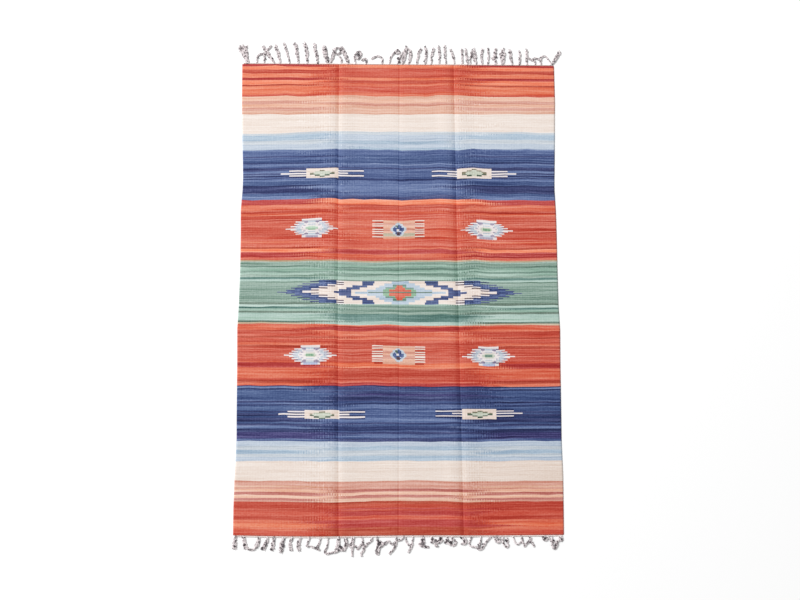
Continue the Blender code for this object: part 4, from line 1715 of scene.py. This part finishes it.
    def build(
        self,
        name: str,
        finish: WarpCotton,
        heading_painted_light_finish: WarpCotton,
        knot_painted_shade_finish: WarpCotton,
    ) -> bpy.types.Object:
        """Build the fringe.

        Args:
            name: The piece's name.
            finish: The warp's finish.
            heading_painted_light_finish: The heading's finish.
            knot_painted_shade_finish: The knots' finish.

        Returns:
            The fringe's object.
        """
        rng = random.Random(self.seed)
        self.add_heading()
        heading_faces = len(self.faces)
        for tassel in self.tassels:
            self.add_tassel(tassel, rng)
        for curl in self.curls:
            self.add_curl(curl, rng)
        loose_faces = len(self.faces)
        for knot in self.knots:
            self.add_knot(knot, rng)
        mesh = bpy.data.meshes.new(name)
        mesh.from_pydata(self.points, [], self.faces)
        mesh.shade_smooth()
        piece = place_piece(name, mesh, finish.material())
        # The heading's finish carries painted light, and the knots' finish painted shade
        mesh.materials.append(heading_painted_light_finish.material())
        mesh.materials.append(knot_painted_shade_finish.material())
        lock_faces, knot_faces = loose_faces - heading_faces, len(self.faces) - loose_faces
        parts = [1] * heading_faces + [0] * lock_faces + [2] * knot_faces
        mesh.polygons.foreach_set("material_index", parts)
        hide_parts("fringe_far" if self.end is End.FAR else "fringe_near")
        locks = len(self.tassels) + len(self.curls)
        LOG.info("%s: %d locks, %d knots, %d faces", name, locks, len(self.knots), len(self.faces))
        return piece


def fold_lift(across: float, end: End) -> float:
    """Return how high the folds lift the cloth's end at a place across it.

    Args:
        across: Metres from the rug's middle line.
        end: Which end.

    Returns:
        The height in metres.
    """
    courses = [fold.far if end is End.FAR else fold.near for fold in FOLDS]
    return MM * float(max(fold.lift(across / MM - course) for fold, course in zip(FOLDS, courses)))


def rounded(points: Sequence[Vector], steps: int = 6) -> list[Vector]:
    """Return a smooth line through points.

    Args:
        points: The points.
        steps: How many steps lead from one point to the next.

    Returns:
        The line's points.
    """
    ends = [2 * points[0] - points[1], *points, 2 * points[-1] - points[-2]]
    line = []
    for before, start, stop, after in zip(ends, ends[1:], ends[2:], ends[3:]):
        for step in range(steps):
            share = step / steps
            pull = (stop - before) * share + (2 * before - 5 * start + 4 * stop - after) * share**2
            pull += (3 * start - before - 3 * stop + after) * share**3
            line.append(start + 0.5 * pull)
    line.append(points[-1])
    return line


def respaced(line: Sequence[Vector], step: float) -> list[Vector]:
    """Return points a set step apart along a line.

    Args:
        line: The line's own points.
        step: The distance between the new points, in metres.

    Returns:
        The new points, with the line's first.
    """
    run = [0.0]
    for before, after in zip(line, line[1:]):
        run.append(run[-1] + (after - before).length)
    count = max(4, round(run[-1] / step))
    places = np.linspace(0.0, run[-1], count + 1)
    axes = [np.interp(places, run, [point[axis] for point in line]) for axis in range(3)]
    return [Vector(point) for point in zip(*axes)]


@dataclass(frozen=True)
class Studio:
    """The pale floor, the soft light and the camera."""

    floor_size: float = 60.0
    light_from: tuple[float, float, float] = (-11.2, 7.8, 12.8)
    light_size: float = 6.75
    light_power: float = 3150.0
    ambient: float = 0.50
    camera_aim: tuple[float, float, float] = (0.005, -0.028, 0.0)
    camera_distance: float = 4.87
    camera_tilt: float = 10.4
    lens: float = 58.35

    def build(self) -> None:
        """Build the floor, the lights and the camera."""
        self.add_floor()
        self.add_light()
        self.add_camera()
        bpy.context.scene.view_settings.view_transform = "Standard"
        LOG.info("studio: floor, soft light from the far left, camera at %.1f m", self.camera_distance)

    def add_floor(self) -> None:
        """Add the floor, which isn't part of the rug."""
        half = self.floor_size / 2
        mesh = bpy.data.meshes.new("floor")
        corners = [(-half, -half, 0), (half, -half, 0), (half, half, 0), (-half, half, 0)]
        mesh.from_pydata(corners, [], [(0, 1, 2, 3)])
        mesh.materials.append(FloorPaint().material())
        floor = bpy.data.objects.new("floor", mesh)
        bpy.context.scene.collection.objects.link(floor)

    def add_light(self) -> None:
        """Add the softbox and the even light of the white room."""
        data = bpy.data.lights.new("softbox", "AREA")
        data.shape = "DISK"
        data.size = self.light_size
        data.energy = self.light_power
        lamp = bpy.data.objects.new("softbox", data)
        lamp.location = self.light_from
        lamp.rotation_euler = (-Vector(self.light_from)).to_track_quat("-Z", "Y").to_euler()
        bpy.context.scene.collection.objects.link(lamp)
        world = bpy.data.worlds.new("white room")
        world.use_nodes = True
        background = world.node_tree.nodes["Background"]
        background.inputs["Color"].default_value = (1.0, 1.0, 1.0, 1.0)
        background.inputs["Strength"].default_value = self.ambient
        bpy.context.scene.world = world

    def add_camera(self) -> None:
        """Add the camera, which looks down from above the near end."""
        data = bpy.data.cameras.new("camera")
        data.lens = self.lens
        data.sensor_width = 36.0
        data.clip_end = 100.0
        camera = bpy.data.objects.new("camera", data)
        tilt = math.radians(self.camera_tilt)
        aim = Vector(self.camera_aim)
        away = Vector((0.0, -math.sin(tilt), math.cos(tilt)))
        camera.location = aim + self.camera_distance * away
        camera.rotation_euler = (-away).to_track_quat("-Z", "Y").to_euler()
        bpy.context.scene.collection.objects.link(camera)
        bpy.context.scene.camera = camera


def main() -> None:
    """Dress the rug: cloth, fringes, studio."""
    weft = WeftCotton()
    warp = WarpCotton()
    # The heading's finish is a lighter copy of the warp cotton, painted light for the light its tight
    # twining catches, and the knots' a darker copy, painted shade for the shade in their deep grooves
    heading = WarpCotton("warp cotton, twined into the heading, painted light", colour="fbece7", painted_groove_shade="f0dcd6")
    knot = WarpCotton("warp cotton, knotted hard, painted shade", colour="756b70", painted_groove_shade="181316")
    cloth = WovenField().build(weft)
    far_fringe = Fringe(End.FAR, FAR_TASSELS, FAR_CURLS, FAR_KNOTS)
    far = far_fringe.build("fringe_far_cords", warp, heading, knot)
    near_fringe = Fringe(End.NEAR, NEAR_TASSELS, NEAR_CURLS, NEAR_KNOTS, seed=6)
    near = near_fringe.build("fringe_near_cords", warp, heading, knot)
    Studio().build()


if __name__ == "__main__":
    main()
